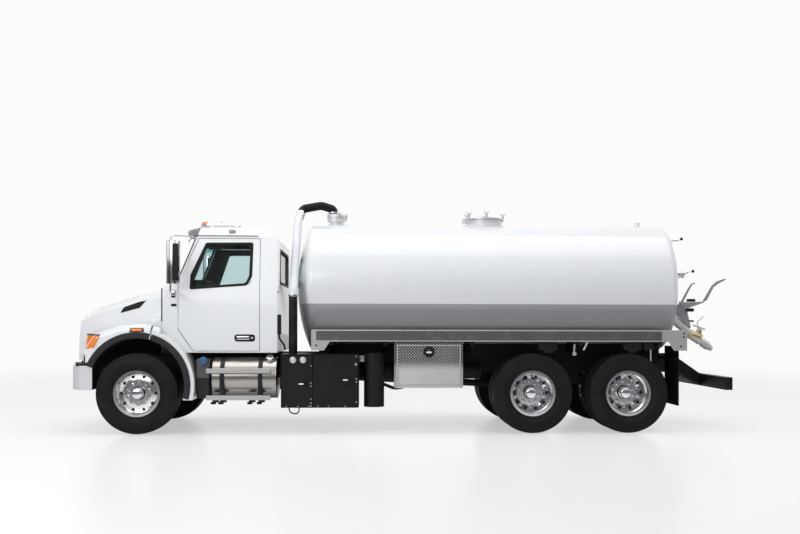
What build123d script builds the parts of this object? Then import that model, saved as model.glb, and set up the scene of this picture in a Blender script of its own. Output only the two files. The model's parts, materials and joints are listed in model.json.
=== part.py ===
"""Vacuum tanker truck: three-axle conventional-cab chassis with a cylindrical tank.

Millimetres.  +Z is up with the ground at Z = 0, the front of the truck points to -X and the
driver's (left) side to -Y.  The origin is on the ground under the middle of the overall box.
"""
import os
from math import asin, cos, pi, sin, sqrt

from build123d import *

# ---------------------------------------------------------------- whole truck
overall_length = 9360.0        # bumper face to the tip of the rear lever
front_x = -overall_length / 2
rear_x = overall_length / 2
over_tyres = 2440.0            # width over the outer tyre walls
seat_gap = 0.3                 # where two pieces sit on each other
panel_gap = 7.0                # seams round doors, hood and lids

# ---------------------------------------------------------------- axles and wheels
front_overhang = 1038.0        # bumper face to the front axle
tandem_setback = 2410.0        # middle of the tandem to the tip of the rear lever
tandem_spacing = 1300.0
front_axle_x = front_x + front_overhang
tandem_x = rear_x - tandem_setback
rear_axles = {"forward": tandem_x - tandem_spacing / 2, "rearward": tandem_x + tandem_spacing / 2}

front_tyre_radius = 540.0
front_tyre_section = 385.0
front_tread_width = 300.0
rear_tyre_radius = 538.0
rear_tyre_section = 280.0
rear_tread_width = 232.0
twin_spacing = 335.0           # middle to middle of the twin tyres
rim_radius = 286.0             # bead seat
rim_flange_radius = 306.0
rim_wall = 12.0
hand_hole_radius = 21.0
hand_hole_circle = 225.0
hand_hole_count = 10
nut_circle = 143.0
nut_count = 10
kingpin_offset = 123.0         # front tyre's middle to the kingpin
steer_limit = 35.0

front_wheel_y = over_tyres / 2 - front_tyre_section / 2
outer_twin_y = over_tyres / 2 - rear_tyre_section / 2
inner_twin_y = outer_twin_y - twin_spacing
kingpin_y = front_wheel_y - kingpin_offset

# ---------------------------------------------------------------- frame
rail_height = 270.0
rail_flange = 90.0
rail_wall = 10.0
rail_top_z = 1060.0
rail_outer_y = 432.0
rail_front_setback = 260.0     # bumper face to the rails' front ends
rail_rear_setback = 880.0      # rear lever's tip to the rails' rear ends
rail_front_x = front_x + rail_front_setback
rail_rear_x = rear_x - rail_rear_setback
rail_bottom_z = rail_top_z - rail_height

# ---------------------------------------------------------------- cab
cab_behind_axle = 302.0        # front axle to the cowl's front
cab_length = 1526.0
cab_floor_z = 1080.0
cab_belt_z = 1930.0
cab_drip_z = 2650.0
cab_roof_z = 2837.0
cab_half_width = 1050.0
cab_top_half_width = 955.0
cab_wall = 55.0
cab_front_x = front_axle_x + cab_behind_axle
cab_rear_x = cab_front_x + cab_length
pillar_base_x = cab_front_x + 198.0
pillar_base_z = 2059.0
pillar_slope = 250.0 / 580.0   # run over rise of the windscreen pillar
screen_bow = 140.0             # how far the windscreen bows forward of its pillars
door_front_x = cab_front_x + 213.0
door_length = 1075.0
door_rear_x = door_front_x + door_length
door_limit = 65.0
barrel_radius = 5.7
door_axis_x = door_front_x - panel_gap / 2
door_axis_y = -cab_half_width - barrel_radius - 0.3
door_hinge_z = (1480.0, 1850.0)

# ---------------------------------------------------------------- hood
hood_nose_z = 970.0
hood_front_x = front_x + 100.0
hood_hinge_x = hood_front_x + 15.0
hood_hinge_z = hood_nose_z - 40.0
hood_pin_radius = 12.0
hood_ear_radius = 24.0
hinge_fit = 0.3
hood_limit = 55.0
hood_wall = 14.0
arch_radius = 632.0
arch_centre_x = front_axle_x + 2.0
arch_centre_z = 650.0

# ---------------------------------------------------------------- tank
cab_to_tank = 464.0            # cab's back wall to the tank's front seam
tank_setback = 1070.0          # rear seam of the tank to the tip of the rear lever
tank_radius = 915.0
tank_centre_z = 2000.0
head_crown_radius = 2200.0
head_knuckle_radius = 100.0
tank_front_x = cab_rear_x + cab_to_tank
tank_rear_x = rear_x - tank_setback
tank_length = tank_rear_x - tank_front_x
head_span = sqrt((head_crown_radius - head_knuckle_radius) ** 2
                 - (tank_radius - head_knuckle_radius) ** 2)
head_depth = head_crown_radius - head_span

tray_overhang = 101.0          # rear end of the hose trays past the rear seam
tray_top_z = 1390.0
tray_depth = 156.0
tray_inner_y = 735.0
tray_wall = 8.0
side_y = 1220.0                # trays, boxes and steps line up here

# ---------------------------------------------------------------- frame and running gear
cross_width = 90.0
cross_members = [rail_front_x + 80, cab_rear_x + 120, tank_front_x + 1300, rear_axles["forward"] - 330,
                 tandem_x, rear_axles["rearward"] + 330, rail_rear_x - cross_width / 2]
axle_tube_radius = 68.0
spring_width = 90.0
front_beam_drop = 120.0
front_spring_y = rail_outer_y - rail_flange / 2
hub_middle_y = (outer_twin_y + inner_twin_y) / 2
axle_end_y = hub_middle_y - 105
rear_spring_y = rail_outer_y - rail_flange / 2
engine_length = 860.0
engine_half_width = 300.0
engine_low_z = 700.0
engine_high_z = 1500.0
engine_front_x = cab_front_x - 40 - engine_length
gearbox_length = 1150.0
gearbox_radius = 210.0
shaft_z = 765.0
shaft_radius = 50.0
diff_radius = 215.0
pinion_reach = 290.0
pinion_rise = 60.0
pinion_radius = 95.0
bumper_lip = 60.0
hood_lug_radius = 20.0
hood_ear_y = rail_outer_y - 18.0
horn_y0 = -rail_outer_y - seat_gap - 16.0
horn_y1 = -rail_outer_y - seat_gap
bumper_half_width = 1190.0
bumper_low_z = 590.0
bumper_high_z = 910.0
bumper_wall = 10.0

# ---------------------------------------------------------------- cab
door_window = [(door_front_x + 147, 1926), (door_rear_x - 111, 1994), (door_rear_x - 87, 2566),
               (door_rear_x - 700, 2557)]
screen_low_z = 2075.0
screen_high_z = 2610.0
screen_low_half = 850.0
screen_high_half = 770.0
rear_window_half = 620.0
rear_window_low_z = 2030.0
rear_window_high_z = 2490.0
seat_x = cab_front_x + 1010
seat_y = 480.0
seat_half = 255.0
steering_wheel_radius = 215.0
steering_rim_radius = 16.0
mirror_x = cab_front_x + 120
mirror_outer_y = 1375.0
mirror_low_z, mirror_high_z = 1962.0, 2536.0
mirror_arm_radius = 14.0
mirror_foot_z = 1890.0
visor_half = 800.0
visor_reach = 130.0
air_horn_y = 700.0
air_horn_radius = 22.0

# ---------------------------------------------------------------- hood
# station: distance behind the nose, half width at the base and at the shoulder, shoulder and top height
hood_stations = [
    dict(x=0.0, base=560.0, shoulder=470.0, shoulder_z=1500.0, top_z=1600.0),
    dict(x=230.0, base=700.0, shoulder=600.0, shoulder_z=1600.0, top_z=1722.0),
    dict(x=760.0, base=860.0, shoulder=740.0, shoulder_z=1740.0, top_z=1878.0),
    dict(x=1215.0, base=960.0, shoulder=850.0, shoulder_z=1850.0, top_z=1985.0),
]
hood_rear_x = cab_front_x - panel_gap - 3
fender_outer_y = 1205.0
fender_inner_y = 760.0
fender_depth = 120.0           # arch to the outer edge of the rear part
fender_low_z = 455.0
fender_front_x = front_x + 330.0
fender_round = 90.0
lamp_outline = [(fender_front_x - 20, 1120), (fender_front_x - 20, 1300), (fender_front_x + 200, 1305),
                (fender_front_x + 130, 1148)]
lamp_inner_y = 760.0
lamp_depth = 40.0
grille_half = 430.0
grille_low_z = 1010.0
grille_high_z = 1500.0
grille_bars = 7
grille_rim = 32.0

# ---------------------------------------------------------------- wheels
bead_half_cut = 50.0           # tyre's widest point to the inner face of the rim flange
bead_fit = 0.3
rim_flange_wall = 14.0
disc_wall = 24.0
front_disc_out = 55.0          # front disc's face, outward of the rim's middle
hub_radius = 84.0
hub_reach = 150.0              # hub cap's face, outward of the twin wheels' middle
hub_fit = 0.3
spindle_radius = 45.0
disc_flat_radius = 180.0
spindle_tip_y = front_wheel_y + 60.0

# ---------------------------------------------------------------- hose trays
tray_bottom_z = tray_top_z - tray_depth
tray_rear_x = tank_rear_x + tray_overhang

# ---------------------------------------------------------------- boxes on the frame
cab_to_cabinet = 65.0
cabinet_to_separator = 68.0
separator_radius = 137.0
separator_to_toolbox = 136.0
toolbox_to_tyre_share = 0.142  # of the room between the cab and the foremost driven tyre
cabinet_share = 0.5304         # of what the gaps and the separator leave
box_bay = rear_axles["forward"] - rear_tyre_radius - cab_rear_x
box_room = (box_bay * (1 - toolbox_to_tyre_share) - cab_to_cabinet - cabinet_to_separator
            - 2 * separator_radius - separator_to_toolbox)
cabinet_front_x = cab_rear_x + cab_to_cabinet
cabinet_length = cabinet_share * box_room
toolbox_length = box_room - cabinet_length
cabinet_low_z, cabinet_high_z = 353.0, 1067.0
cabinet_depth = 600.0
cabinet_wall = 12.0
cabinet_door = 30.0
cabinet_rear_x = cabinet_front_x + cabinet_length
cabinet_split_x = cabinet_front_x + 0.412 * cabinet_length
separator_x = cabinet_rear_x + cabinet_to_separator + separator_radius
toolbox_x = separator_x + separator_radius + separator_to_toolbox
cabinet_face_y = -1200.0
cabinet_axis_y = cabinet_face_y - barrel_radius - 0.3
saddle_x = [tank_front_x + 260, toolbox_x - 120, toolbox_x + toolbox_length + 130, tandem_x,
            tank_rear_x - 260]

# ---------------------------------------------------------------- pipes and openings of the tank
pipe_radius = 58.5
pipe_x = cab_rear_x + 204.0
pipe_knee = (pipe_x, -120.0, 2960.0)
pipe_mouth = (pipe_x + 40, -20.0, 3080.0)
hose_radius = 60.0
hose_crest_z = 3190.0
shut_off_z = tank_centre_z + tank_radius + 141
manway_x = tank_front_x + 0.494 * tank_length
manway_radius = 255.0
shut_off_x = tank_front_x + 290.0
manway_height = 70.0
manway_wall = 20.0
manway_hinge_reach = manway_radius + 50
manway_pin_radius = 7.0
manway_pin_fit = 0.8
lid_thick = 22.0
swing_bolt_circle = manway_radius + 18
swing_bolt_drop = 17.0         # foot of a swing bolt below the rim
swing_bolt_angles = (0, 90, 150, 210, 270)
drain_radius = 58.0
drain_tip = (tank_rear_x + 560, 0, 1331)
drain_run = (186.0, 0.0, -126.0)
valve_radius = 66.0
valve_reach = 175.0
coupler_radius = 54.0
coupler_reach = 345.0
spigot_radius = 37.8
spigot_length = 48.0
drain_root = (tank_rear_x + 180, 0, 1650)
valve_hub_x = tank_rear_x + 379.0
valve_hub_z = 1694.0
valve_hub_radius = 78.0
lever_plate = 20.0
lever_inner_y = -52.0
short_lever_width = 20.5
gauge_upper_z = 2699.0
gauge_lower_z = 2215.0
gauge_glass_radius = 52.0
gauge_ball_radius = 21.5

# ---------------------------------------------------------------- rear guard and toolbox
guard_x = rail_rear_x + 483.0
guard_depth = 100.0
guard_half = 1100.0
guard_height = 172.0
guard_low_z = 576.0
guard_arm_y = (-110.0, 70.0)
guard_arm = 40.0
toolbox_low_z, toolbox_high_z = 615.0, 1221.0
toolbox_depth = 560.0
toolbox_door_thick = 28.0
toolbox_axis_y = -side_y - barrel_radius - 0.3
toolbox_axis_z = toolbox_low_z + 14.0

# ---------------------------------------------------------------- beside the cab
fuel_x = cab_rear_x - 854.0
fuel_length = 857.0
fuel_radius = 277.5
fuel_y = -900.0
fuel_z = 743.0


# ================================================================ helpers
def block(x0, x1, y0, y1, z0, z1):
    """Box between two corners."""
    return Pos((x0 + x1) / 2, (y0 + y1) / 2, (z0 + z1) / 2) * Box(x1 - x0, y1 - y0, z1 - z0)


def prism_y(points, y0, y1):
    """Outline in X and Z carried from y0 to y1."""
    outline = Face(Wire.make_polygon([Vector(x, y0, z) for x, z in points]))
    return Solid.extrude(outline, Vector(0, y1 - y0, 0))


def prism_x(points, x0, x1):
    """Outline in Y and Z carried from x0 to x1."""
    outline = Face(Wire.make_polygon([Vector(x0, y, z) for y, z in points]))
    return Solid.extrude(outline, Vector(x1 - x0, 0, 0))


def prism_z(points, z0, z1):
    """Outline in X and Y carried from z0 to z1."""
    outline = Face(Wire.make_polygon([Vector(x, y, z0) for x, y in points]))
    return Solid.extrude(outline, Vector(0, 0, z1 - z0))


def rod(start, end, radius):
    """Round bar between two points."""
    start, end = Vector(*start), Vector(*end)
    run = end - start
    return Solid.make_cylinder(radius, run.length, Plane(origin=start, z_dir=run.normalized()))


def pipe(points, radius, bends):
    """Round pipe along straight runs joined by tangent arcs."""
    path = FilletPolyline(*points, radius=bends)
    first = Vector(*points[1]) - Vector(*points[0])
    ring = Plane(origin=points[0], z_dir=first.normalized()) * Circle(radius)
    return sweep(ring, path=path)


def mirrored(shape):
    """The same piece on the other side of the truck."""
    return mirror(shape, about=Plane.XZ)


def pair(shape):
    """A piece and its copy on the other side."""
    return Compound(children=[*solids_of(shape), *solids_of(mirrored(shape))])


def solids_of(*shapes):
    """Every solid in the given shapes."""
    return [solid for shape in shapes for solid in shape.solids()]


def save(name, *shapes):
    """Write one node's solids to its own file."""
    solids = solids_of(*shapes)
    for solid in solids:
        solid.label = name
    node = solids[0] if len(solids) == 1 else Compound(label=name, children=solids)
    export_step(node, f"parts/{name}.step")


def barrels(start, end, radius, fixed_leaf, moving_leaf):
    """Hinge of three barrels on one line: the outer two for the fixed side, the middle one for the
    moving side.  Each leaf is a function of two points that joins a barrel to its own panel."""
    start, end = Vector(*start), Vector(*end)
    run = end - start
    axial = run.normalized() * hinge_fit
    a, b = start + run * 0.32, start + run * 0.68
    fixed = rod(start, a, radius) + fixed_leaf(start, a) + rod(b, end, radius) + fixed_leaf(b, end)
    moving = rod(a + axial, b - axial, radius) + moving_leaf(a + axial, b - axial)
    return fixed, moving


def upright_leaf(x0, x1, skin_y, low, high):
    """Leaf of an upright hinge, let into the skin at skin_y, between two points of the hinge's line."""
    return block(x0, x1, skin_y - 4, skin_y + 1, low.Z, high.Z)


# ================================================================ frame and running gear
def frame_rails():
    """Two channel rails with their cross members."""
    rail = block(rail_front_x, rail_rear_x, -rail_outer_y, -rail_outer_y + rail_flange,
                 rail_bottom_z, rail_top_z)
    rail -= block(rail_front_x - 1, rail_rear_x + 1, -rail_outer_y + rail_wall,
                  -rail_outer_y + rail_flange + 1, rail_bottom_z + rail_wall, rail_top_z - rail_wall)
    inner = rail_outer_y - rail_wall
    frame = rail + mirrored(rail)
    for x in cross_members:
        frame += block(x - cross_width / 2, x + cross_width / 2, -inner, inner,
                       rail_bottom_z + 40, rail_top_z - 40)
    for x in (cab_front_x + 260, cab_rear_x - 160):
        mount = rod((x, -rail_outer_y + rail_flange / 2, rail_top_z - 5),
                    (x, -rail_outer_y + rail_flange / 2, cab_floor_z - seat_gap), 40)
        frame += mount + mirrored(mount)
    return frame


def front_axle():
    """Dropped beam between the kingpin eyes, with its leaf springs."""
    z = front_tyre_radius
    half = kingpin_y - 70
    outline = [(-half, z - 45), (-half, z + 45), (-half + 110, z + 40),
               (-half + 230, z + 40 - front_beam_drop), (half - 230, z + 40 - front_beam_drop),
               (half - 110, z + 40), (half, z + 45), (half, z - 45), (half - 120, z - 50),
               (half - 250, z - 50 - front_beam_drop), (-half + 250, z - 50 - front_beam_drop),
               (-half + 120, z - 50)]
    beam = prism_x(outline, front_axle_x - 55, front_axle_x + 55)
    pin_y = kingpin_y
    eye = Pos(front_axle_x, -pin_y, z) * Cylinder(48, 150)
    arm = block(front_axle_x - 50, front_axle_x + 50, -pin_y, -half + 5, z - 45, z + 45)
    beam = beam + eye + arm + mirrored(eye) + mirrored(arm)
    pad_top = z + 40 - front_beam_drop
    leaf_z = pad_top + 60
    leaves = prism_y([(front_axle_x - 720, leaf_z + 145), (front_axle_x - 300, leaf_z + 30),
                      (front_axle_x + 300, leaf_z + 30), (front_axle_x + 720, leaf_z + 145),
                      (front_axle_x + 720, leaf_z + 105), (front_axle_x + 300, leaf_z - 30),
                      (front_axle_x - 300, leaf_z - 30), (front_axle_x - 720, leaf_z + 105)],
                     -front_spring_y - spring_width / 2, -front_spring_y + spring_width / 2)
    seat = block(front_axle_x - 80, front_axle_x + 80, -front_spring_y - spring_width / 2,
                 -front_spring_y + spring_width / 2, pad_top - 20, leaf_z)
    hangers = []
    for x in (front_axle_x - 700, front_axle_x + 700):
        hangers.append(block(x - 40, x + 40, -front_spring_y - 30, -front_spring_y + 30,
                             leaf_z + 110, rail_bottom_z - seat_gap))
    side = leaves + seat + hangers[0] + hangers[1]
    return beam + side + mirrored(side)


def rear_running_gear():
    """Two driven axles, their springs and the trunnion brackets that carry them."""
    gear = None
    for x in rear_axles.values():
        z = rear_tyre_radius
        tube = rod((x, -axle_end_y, z), (x, axle_end_y, z), axle_tube_radius)
        bowl = Pos(x, 0, z) * Sphere(diff_radius)
        nose = rod((x - pinion_reach, 0, z + pinion_rise), (x, 0, z + pinion_rise), pinion_radius)
        axle = tube + bowl + nose
        gear = axle if gear is None else gear + axle
    top = rail_bottom_z - 60
    low = rear_tyre_radius + axle_tube_radius - 10
    z = rear_tyre_radius
    spring = prism_y([(rear_axles["forward"] - 70, low - 60), (rear_axles["forward"] - 70, low + 45),
                      (tandem_x - 150, top), (tandem_x + 150, top),
                      (rear_axles["rearward"] + 70, low + 45), (rear_axles["rearward"] + 70, low - 60),
                      (rear_axles["rearward"] - 60, low - 30), (tandem_x + 150, top - 110),
                      (tandem_x - 150, top - 110), (rear_axles["forward"] + 60, low - 30)],
                     -rear_spring_y - spring_width / 2, -rear_spring_y + spring_width / 2)
    trunnion = block(tandem_x - 130, tandem_x + 130, -rear_spring_y - 30, -rear_spring_y + 30,
                     top - 60, rail_bottom_z - seat_gap)
    side = spring + trunnion
    return gear + side + mirrored(side)


def powertrain():
    """Plain engine block, gearbox and the shafts to the two driven axles."""
    rear = engine_front_x + engine_length
    engine = block(engine_front_x, rear, -engine_half_width, engine_half_width, engine_low_z, engine_high_z)
    mount_y = rail_outer_y - rail_wall - seat_gap
    engine += block(engine_front_x + 100, engine_front_x + 180, -mount_y, mount_y,
                    rail_bottom_z + 60, rail_top_z - 60)
    gearbox = rod((rear - 5, 0, shaft_z), (rear + gearbox_length, 0, shaft_z), gearbox_radius)
    yoke_x = rear_axles["forward"] - pinion_reach - seat_gap
    pinion_z = rear_tyre_radius + pinion_rise
    shaft = rod((rear + gearbox_length - 5, 0, shaft_z), (yoke_x - 50, 0, pinion_z), shaft_radius)
    shaft += rod((yoke_x - 70, 0, pinion_z), (yoke_x, 0, pinion_z), shaft_radius + 15)
    return engine + gearbox + shaft


def bumper():
    """Steel front bumper, bowed forward in the middle with its ends turned back."""
    def band(setback, z0, z1, reach):
        half = bumper_half_width - setback
        points = [(front_x + setback, -450), (front_x + setback + 150, -980), (front_x + 300, -half),
                  (front_x + reach, -half), (front_x + reach, half), (front_x + 300, half),
                  (front_x + setback + 150, 980), (front_x + setback, 450)]
        return prism_z(points, z0, z1)
    outer = band(0, bumper_low_z, bumper_high_z, 460)
    inner = band(bumper_wall, bumper_low_z + bumper_wall, bumper_high_z - bumper_wall, 470)
    behind = band(bumper_lip, bumper_low_z - 10, bumper_high_z + 10, 480)
    shell = outer - inner - behind
    horn = block(front_x + bumper_wall - 1, rail_front_x + 160, horn_y0, horn_y1,
                 rail_bottom_z - 40, rail_top_z - 130)
    horn += rod((hood_hinge_x, horn_y0, hood_hinge_z), (hood_hinge_x, horn_y1, hood_hinge_z), hood_lug_radius)
    horn += rod((hood_hinge_x, -rail_outer_y - 10, hood_hinge_z),
                (hood_hinge_x, -hood_ear_y + 14, hood_hinge_z), hood_pin_radius)
    return shell + horn + mirrored(horn)


# ================================================================ cab
def cab_section(inset):
    """Half of the cab's cross-section as (Y, Z) from the floor to the roof's middle."""
    return [(cab_half_width - inset, cab_floor_z + inset), (cab_half_width - inset, cab_belt_z),
            (cab_top_half_width - inset, cab_drip_z),
            (cab_top_half_width - 115 - inset, cab_drip_z + 120 - inset),
            (cab_top_half_width - 400, cab_roof_z - 18 - inset), (0, cab_roof_z - inset)]


def screen_column(inset):
    """Everything behind the bowed, raked windscreen surface, drawn back by inset."""
    low = cab_floor_z - 100
    high = cab_roof_z + 100
    run_low = (low - pillar_base_z) * pillar_slope
    side_x = pillar_base_x + inset * 1.1 + run_low
    back_x = cab_rear_x + 1500
    bow = ThreePointArc((side_x, -cab_half_width + 100, low), (side_x - screen_bow, 0, low),
                        (side_x, cab_half_width - 100, low))
    rest = Polyline((side_x, cab_half_width - 100, low), (side_x + 90, cab_half_width + 50, low),
                    (back_x, cab_half_width + 50, low), (back_x, -cab_half_width - 50, low),
                    (side_x + 90, -cab_half_width - 50, low), (side_x, -cab_half_width + 100, low))
    plan = make_face(bow + rest)
    return extrude(plan, amount=sqrt(1 + pillar_slope ** 2) * (high - low), dir=(pillar_slope, 0, 1))


def cab_volume(inset):
    """The cab's closed form, drawn in from its skin by inset."""
    half = cab_section(inset)
    outline = [(-y, z) for y, z in half] + [(y, z) for y, z in reversed(half[:-1])]
    body = prism_x(outline, cab_front_x + inset, cab_rear_x - inset)
    low = cab_floor_z - 100
    cowl_top = cab_belt_z + 40 - inset
    cowl = prism_x(outline, cab_front_x + inset, pillar_base_x + 120)
    cowl &= prism_y([(cab_front_x - 10, low), (cab_front_x - 10, cowl_top - 10),
                     (pillar_base_x + 100, cowl_top + 70), (pillar_base_x + 130, low)], -1500, 1500)
    slope_top = 250
    body &= screen_column(inset)
    body += cowl
    rear_cut = prism_y([(cab_rear_x - slope_top - inset, cab_roof_z + 10 - inset),
                        (cab_rear_x + 10, cab_roof_z + 10), (cab_rear_x + 10, cab_drip_z - 40 - inset),
                        (cab_rear_x - inset, cab_drip_z - 40 - inset)], -1500, 1500)
    return body - rear_cut


def door_outline(grow):
    """Door's outline in X and Z, grown on every side by grow."""
    return [(door_front_x - grow, 1395 - grow), (door_front_x - grow, 2030 + grow * 0.4),
            (door_front_x + 262 - grow, 2612 + grow), (door_rear_x + grow, 2612 + grow),
            (door_rear_x + grow, cab_floor_z + 24 - grow),
            (door_front_x + 200 - grow * 0.6, cab_floor_z + 24 - grow)]


def window_solid(points, grow, y0, y1, corner):
    """Window outline carried across the truck, with rounded corners."""
    outline = Wire.make_polygon([Vector(x, y0, z) for x, z in points])
    face = Face(outline)
    face = face.fillet_2d(corner, face.vertices())
    if grow:
        face = offset(face, amount=grow)
    return extrude(face, amount=abs(y1 - y0), dir=(0, 1 if y1 > y0 else -1, 0))


def screen_prism(shrink):
    """Windscreen's outline seen from the front, carried through the cab's front."""
    low_half, high_half = screen_low_half - shrink, screen_high_half - shrink
    low_z, high_z = screen_low_z + shrink, screen_high_z - shrink
    points = [(-low_half, low_z), (-high_half, high_z), (high_half, high_z), (low_half, low_z)]
    return prism_x(points, cab_front_x - 200, pillar_base_x + 420)


def rear_window_prism(shrink):
    """Rear window's outline carried through the back wall."""
    return block(cab_rear_x - 150, cab_rear_x + 50, -rear_window_half + shrink, rear_window_half - shrink,
                 rear_window_low_z + shrink, rear_window_high_z - shrink)


def side_slab(depth):
    """Outer part of the cab's left side, as deep as given."""
    def section(inset):
        half = cab_section(inset)
        outline = [(-y, z) for y, z in half] + [(y, z) for y, z in reversed(half[:-1])]
        outline[0] = (outline[0][0], cab_floor_z - 50)
        outline[-1] = (outline[-1][0], cab_floor_z - 50)
        return prism_x(outline, cab_front_x - 10, cab_rear_x + 10)
    return (section(0) - section(depth)) & block(cab_front_x - 100, cab_rear_x + 100, -1500, -700, 0, 3500)


def cab_pieces():
    """Cab shell, its fixed glass, the two doors and their glass."""
    outer = cab_volume(0)
    skin = outer - cab_volume(cab_wall)
    glass_skin = cab_volume(20) - cab_volume(26)
    slab = side_slab(cab_wall)
    door_hole = prism_y(door_outline(panel_gap), -1500, -700) & side_slab(cab_wall + 2)
    door_body = prism_y(door_outline(0), -1500, -700) & slab
    window = window_solid(door_window, 0, -1500, -700, 45)
    pane = window & side_slab(40)
    shell = skin - door_hole - mirrored(door_hole) - screen_prism(0) - rear_window_prism(0)
    door = outer & door_body
    door -= window
    glass = glass_skin & pane
    for z in door_hinge_z:
        axis_x, skin_y = door_axis_x, -cab_half_width
        fixed, moving = barrels((axis_x, door_axis_y, z - 60), (axis_x, door_axis_y, z + 60), barrel_radius,
                                lambda p, q: upright_leaf(axis_x - 40, axis_x, skin_y, p, q),
                                lambda p, q: upright_leaf(axis_x, axis_x + 40, skin_y, p, q))
        shell += fixed + mirrored(fixed)
        door += moving
    fixed = [glass_skin & screen_prism(0), glass_skin & rear_window_prism(0)]
    return shell, fixed, door, glass


def cab_interior():
    """Floor-mounted seats, dash and steering wheel."""
    floor = cab_floor_z + cab_wall + seat_gap
    pieces = [seat(-seat_y, floor), seat(seat_y, floor)]
    front = cab_front_x + cab_wall + 12
    half = cab_half_width - cab_wall - 75
    dash = prism_y([(front, 1500), (front, 1880), (front + 180, 1925), (front + 420, 1890),
                    (front + 440, 1600), (front + 250, 1420)], -half, half)
    foot = block(front + 20, front + 160, -half, half, floor, 1520)
    hub = (front + 560, -seat_y, 1985.0)
    column = rod((front + 330, -seat_y, 1640), hub, 32)
    wheel_plane = Plane(origin=hub, z_dir=Vector(0.55, 0, 0.83).normalized())
    rim = wheel_plane * Torus(steering_wheel_radius, steering_rim_radius)
    reach = 2 * steering_wheel_radius - 10
    spokes = wheel_plane * (Box(reach, 34, 14) + Box(34, reach, 14))
    pieces.append(dash + foot + column + rim + spokes)
    return pieces


def seat(y, floor):
    """One seat on its pedestal, with its middle at y."""
    pedestal = block(seat_x - 220, seat_x + 220, y - 180, y + 180, floor, floor + 300)
    cushion = block(seat_x - 250, seat_x + 250, y - seat_half, y + seat_half, floor + 280, floor + 430)
    back = prism_y([(seat_x + 150, floor + 400), (seat_x + 255, floor + 400), (seat_x + 400, floor + 1040),
                    (seat_x + 300, floor + 1050)], y - seat_half + 5, y + seat_half - 5)
    return pedestal + cushion + back


def mirrors():
    """Tall mirror carried on two arms from a foot on the cowl."""
    head = block(mirror_x - 45, mirror_x + 122, -mirror_outer_y, -mirror_outer_y + 110,
                 mirror_low_z, mirror_high_z)
    head = fillet(head.edges().filter_by(Axis.Z), 24)
    post_y = -mirror_outer_y + 60
    post = rod((mirror_x, post_y, mirror_foot_z - 10), (mirror_x, post_y, mirror_high_z + 44),
               mirror_arm_radius)
    skin_y = -cab_half_width - seat_gap
    arm = rod((mirror_x, post_y, mirror_foot_z), (mirror_x, skin_y - 6, mirror_foot_z), mirror_arm_radius)
    foot = block(mirror_x - 35, mirror_x + 35, skin_y - 14, skin_y, mirror_foot_z - 40, mirror_foot_z + 35)
    return head + post + arm + foot


def roof_fittings():
    """Sun visor, air horn and amber marker on the roof."""
    slab = prism_y([(pillar_base_x - 200, 2640), (pillar_base_x - 200, 2652), (pillar_base_x + 330, 2812),
                    (pillar_base_x + 330, 2800)], -visor_half, visor_half)
    visor = (slab & screen_column(-visor_reach)) - screen_column(-seat_gap)
    shoulder_y, shoulder_z = cab_top_half_width - 115, cab_drip_z + 120
    side_roof_z = shoulder_z + (cab_roof_z - 18 - shoulder_z) * (shoulder_y - air_horn_y) / 285
    axis_z = side_roof_z + air_horn_radius + 8
    horn = rod((pillar_base_x + 330, -air_horn_y, axis_z), (pillar_base_x + 800, -air_horn_y, axis_z),
               air_horn_radius)
    for x in (pillar_base_x + 420, pillar_base_x + 740):
        horn += block(x - 15, x + 15, -air_horn_y - 14, -air_horn_y + 14, side_roof_z + 3, axis_z)
    marker = block(cab_front_x + 550, cab_front_x + 610, -60, 60, cab_roof_z + seat_gap, cab_roof_z + 40)
    return [visor, horn, marker]


# ================================================================ hood


def hood_form(inset):
    """Nose and centre of the hood as one loft through its stations."""
    sections = []
    last = hood_stations[-1]["x"]
    for station in hood_stations:
        x = hood_front_x + station["x"] * (hood_rear_x - hood_front_x) / last
        if station["x"] == 0:
            x += inset
        if station["x"] == last and inset:
            x += 20
        b, s = station["base"] - inset, station["shoulder"] - inset
        sz, tz = station["shoulder_z"] - inset * 0.7, station["top_z"] - inset
        low = hood_nose_z - (40 if inset else 0)
        half = [(b, low), (b * 0.98, sz - 260), (s, sz), (s * 0.55, tz - 22)]
        ring = [Vector(x, -y, z) for y, z in half] + [Vector(x, y, z) for y, z in reversed(half)]
        sections.append(Wire.make_polygon(ring))
    return Solid.make_loft(sections, ruled=True)


def fender_form(inset):
    """One side's fender: a swelling over the wheel, out to the tyre's outer wall."""
    outer = fender_outer_y - inset
    top = 1470.0 - inset
    outline = [(fender_front_x + inset, 955), (fender_front_x + inset, 1100),
               (fender_front_x + 150 + inset, 1330 - inset), (front_axle_x - 250, top - 30),
               (front_axle_x + 60, top), (hood_rear_x - 60, top - 40), (hood_rear_x - 60, 955)]
    if inset:
        outline[0] = (fender_front_x + inset, 900)
        outline[-1] = (hood_rear_x + 60, 900)
        outline[-2] = (hood_rear_x + 60, top - 40)
    form = prism_y(outline, -outer, -500)
    rounded = [edge for edge in form.faces().sort_by(Axis.Y)[0].edges() if edge.center().Z > 1000]
    return fillet(rounded, fender_round - inset)


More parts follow.
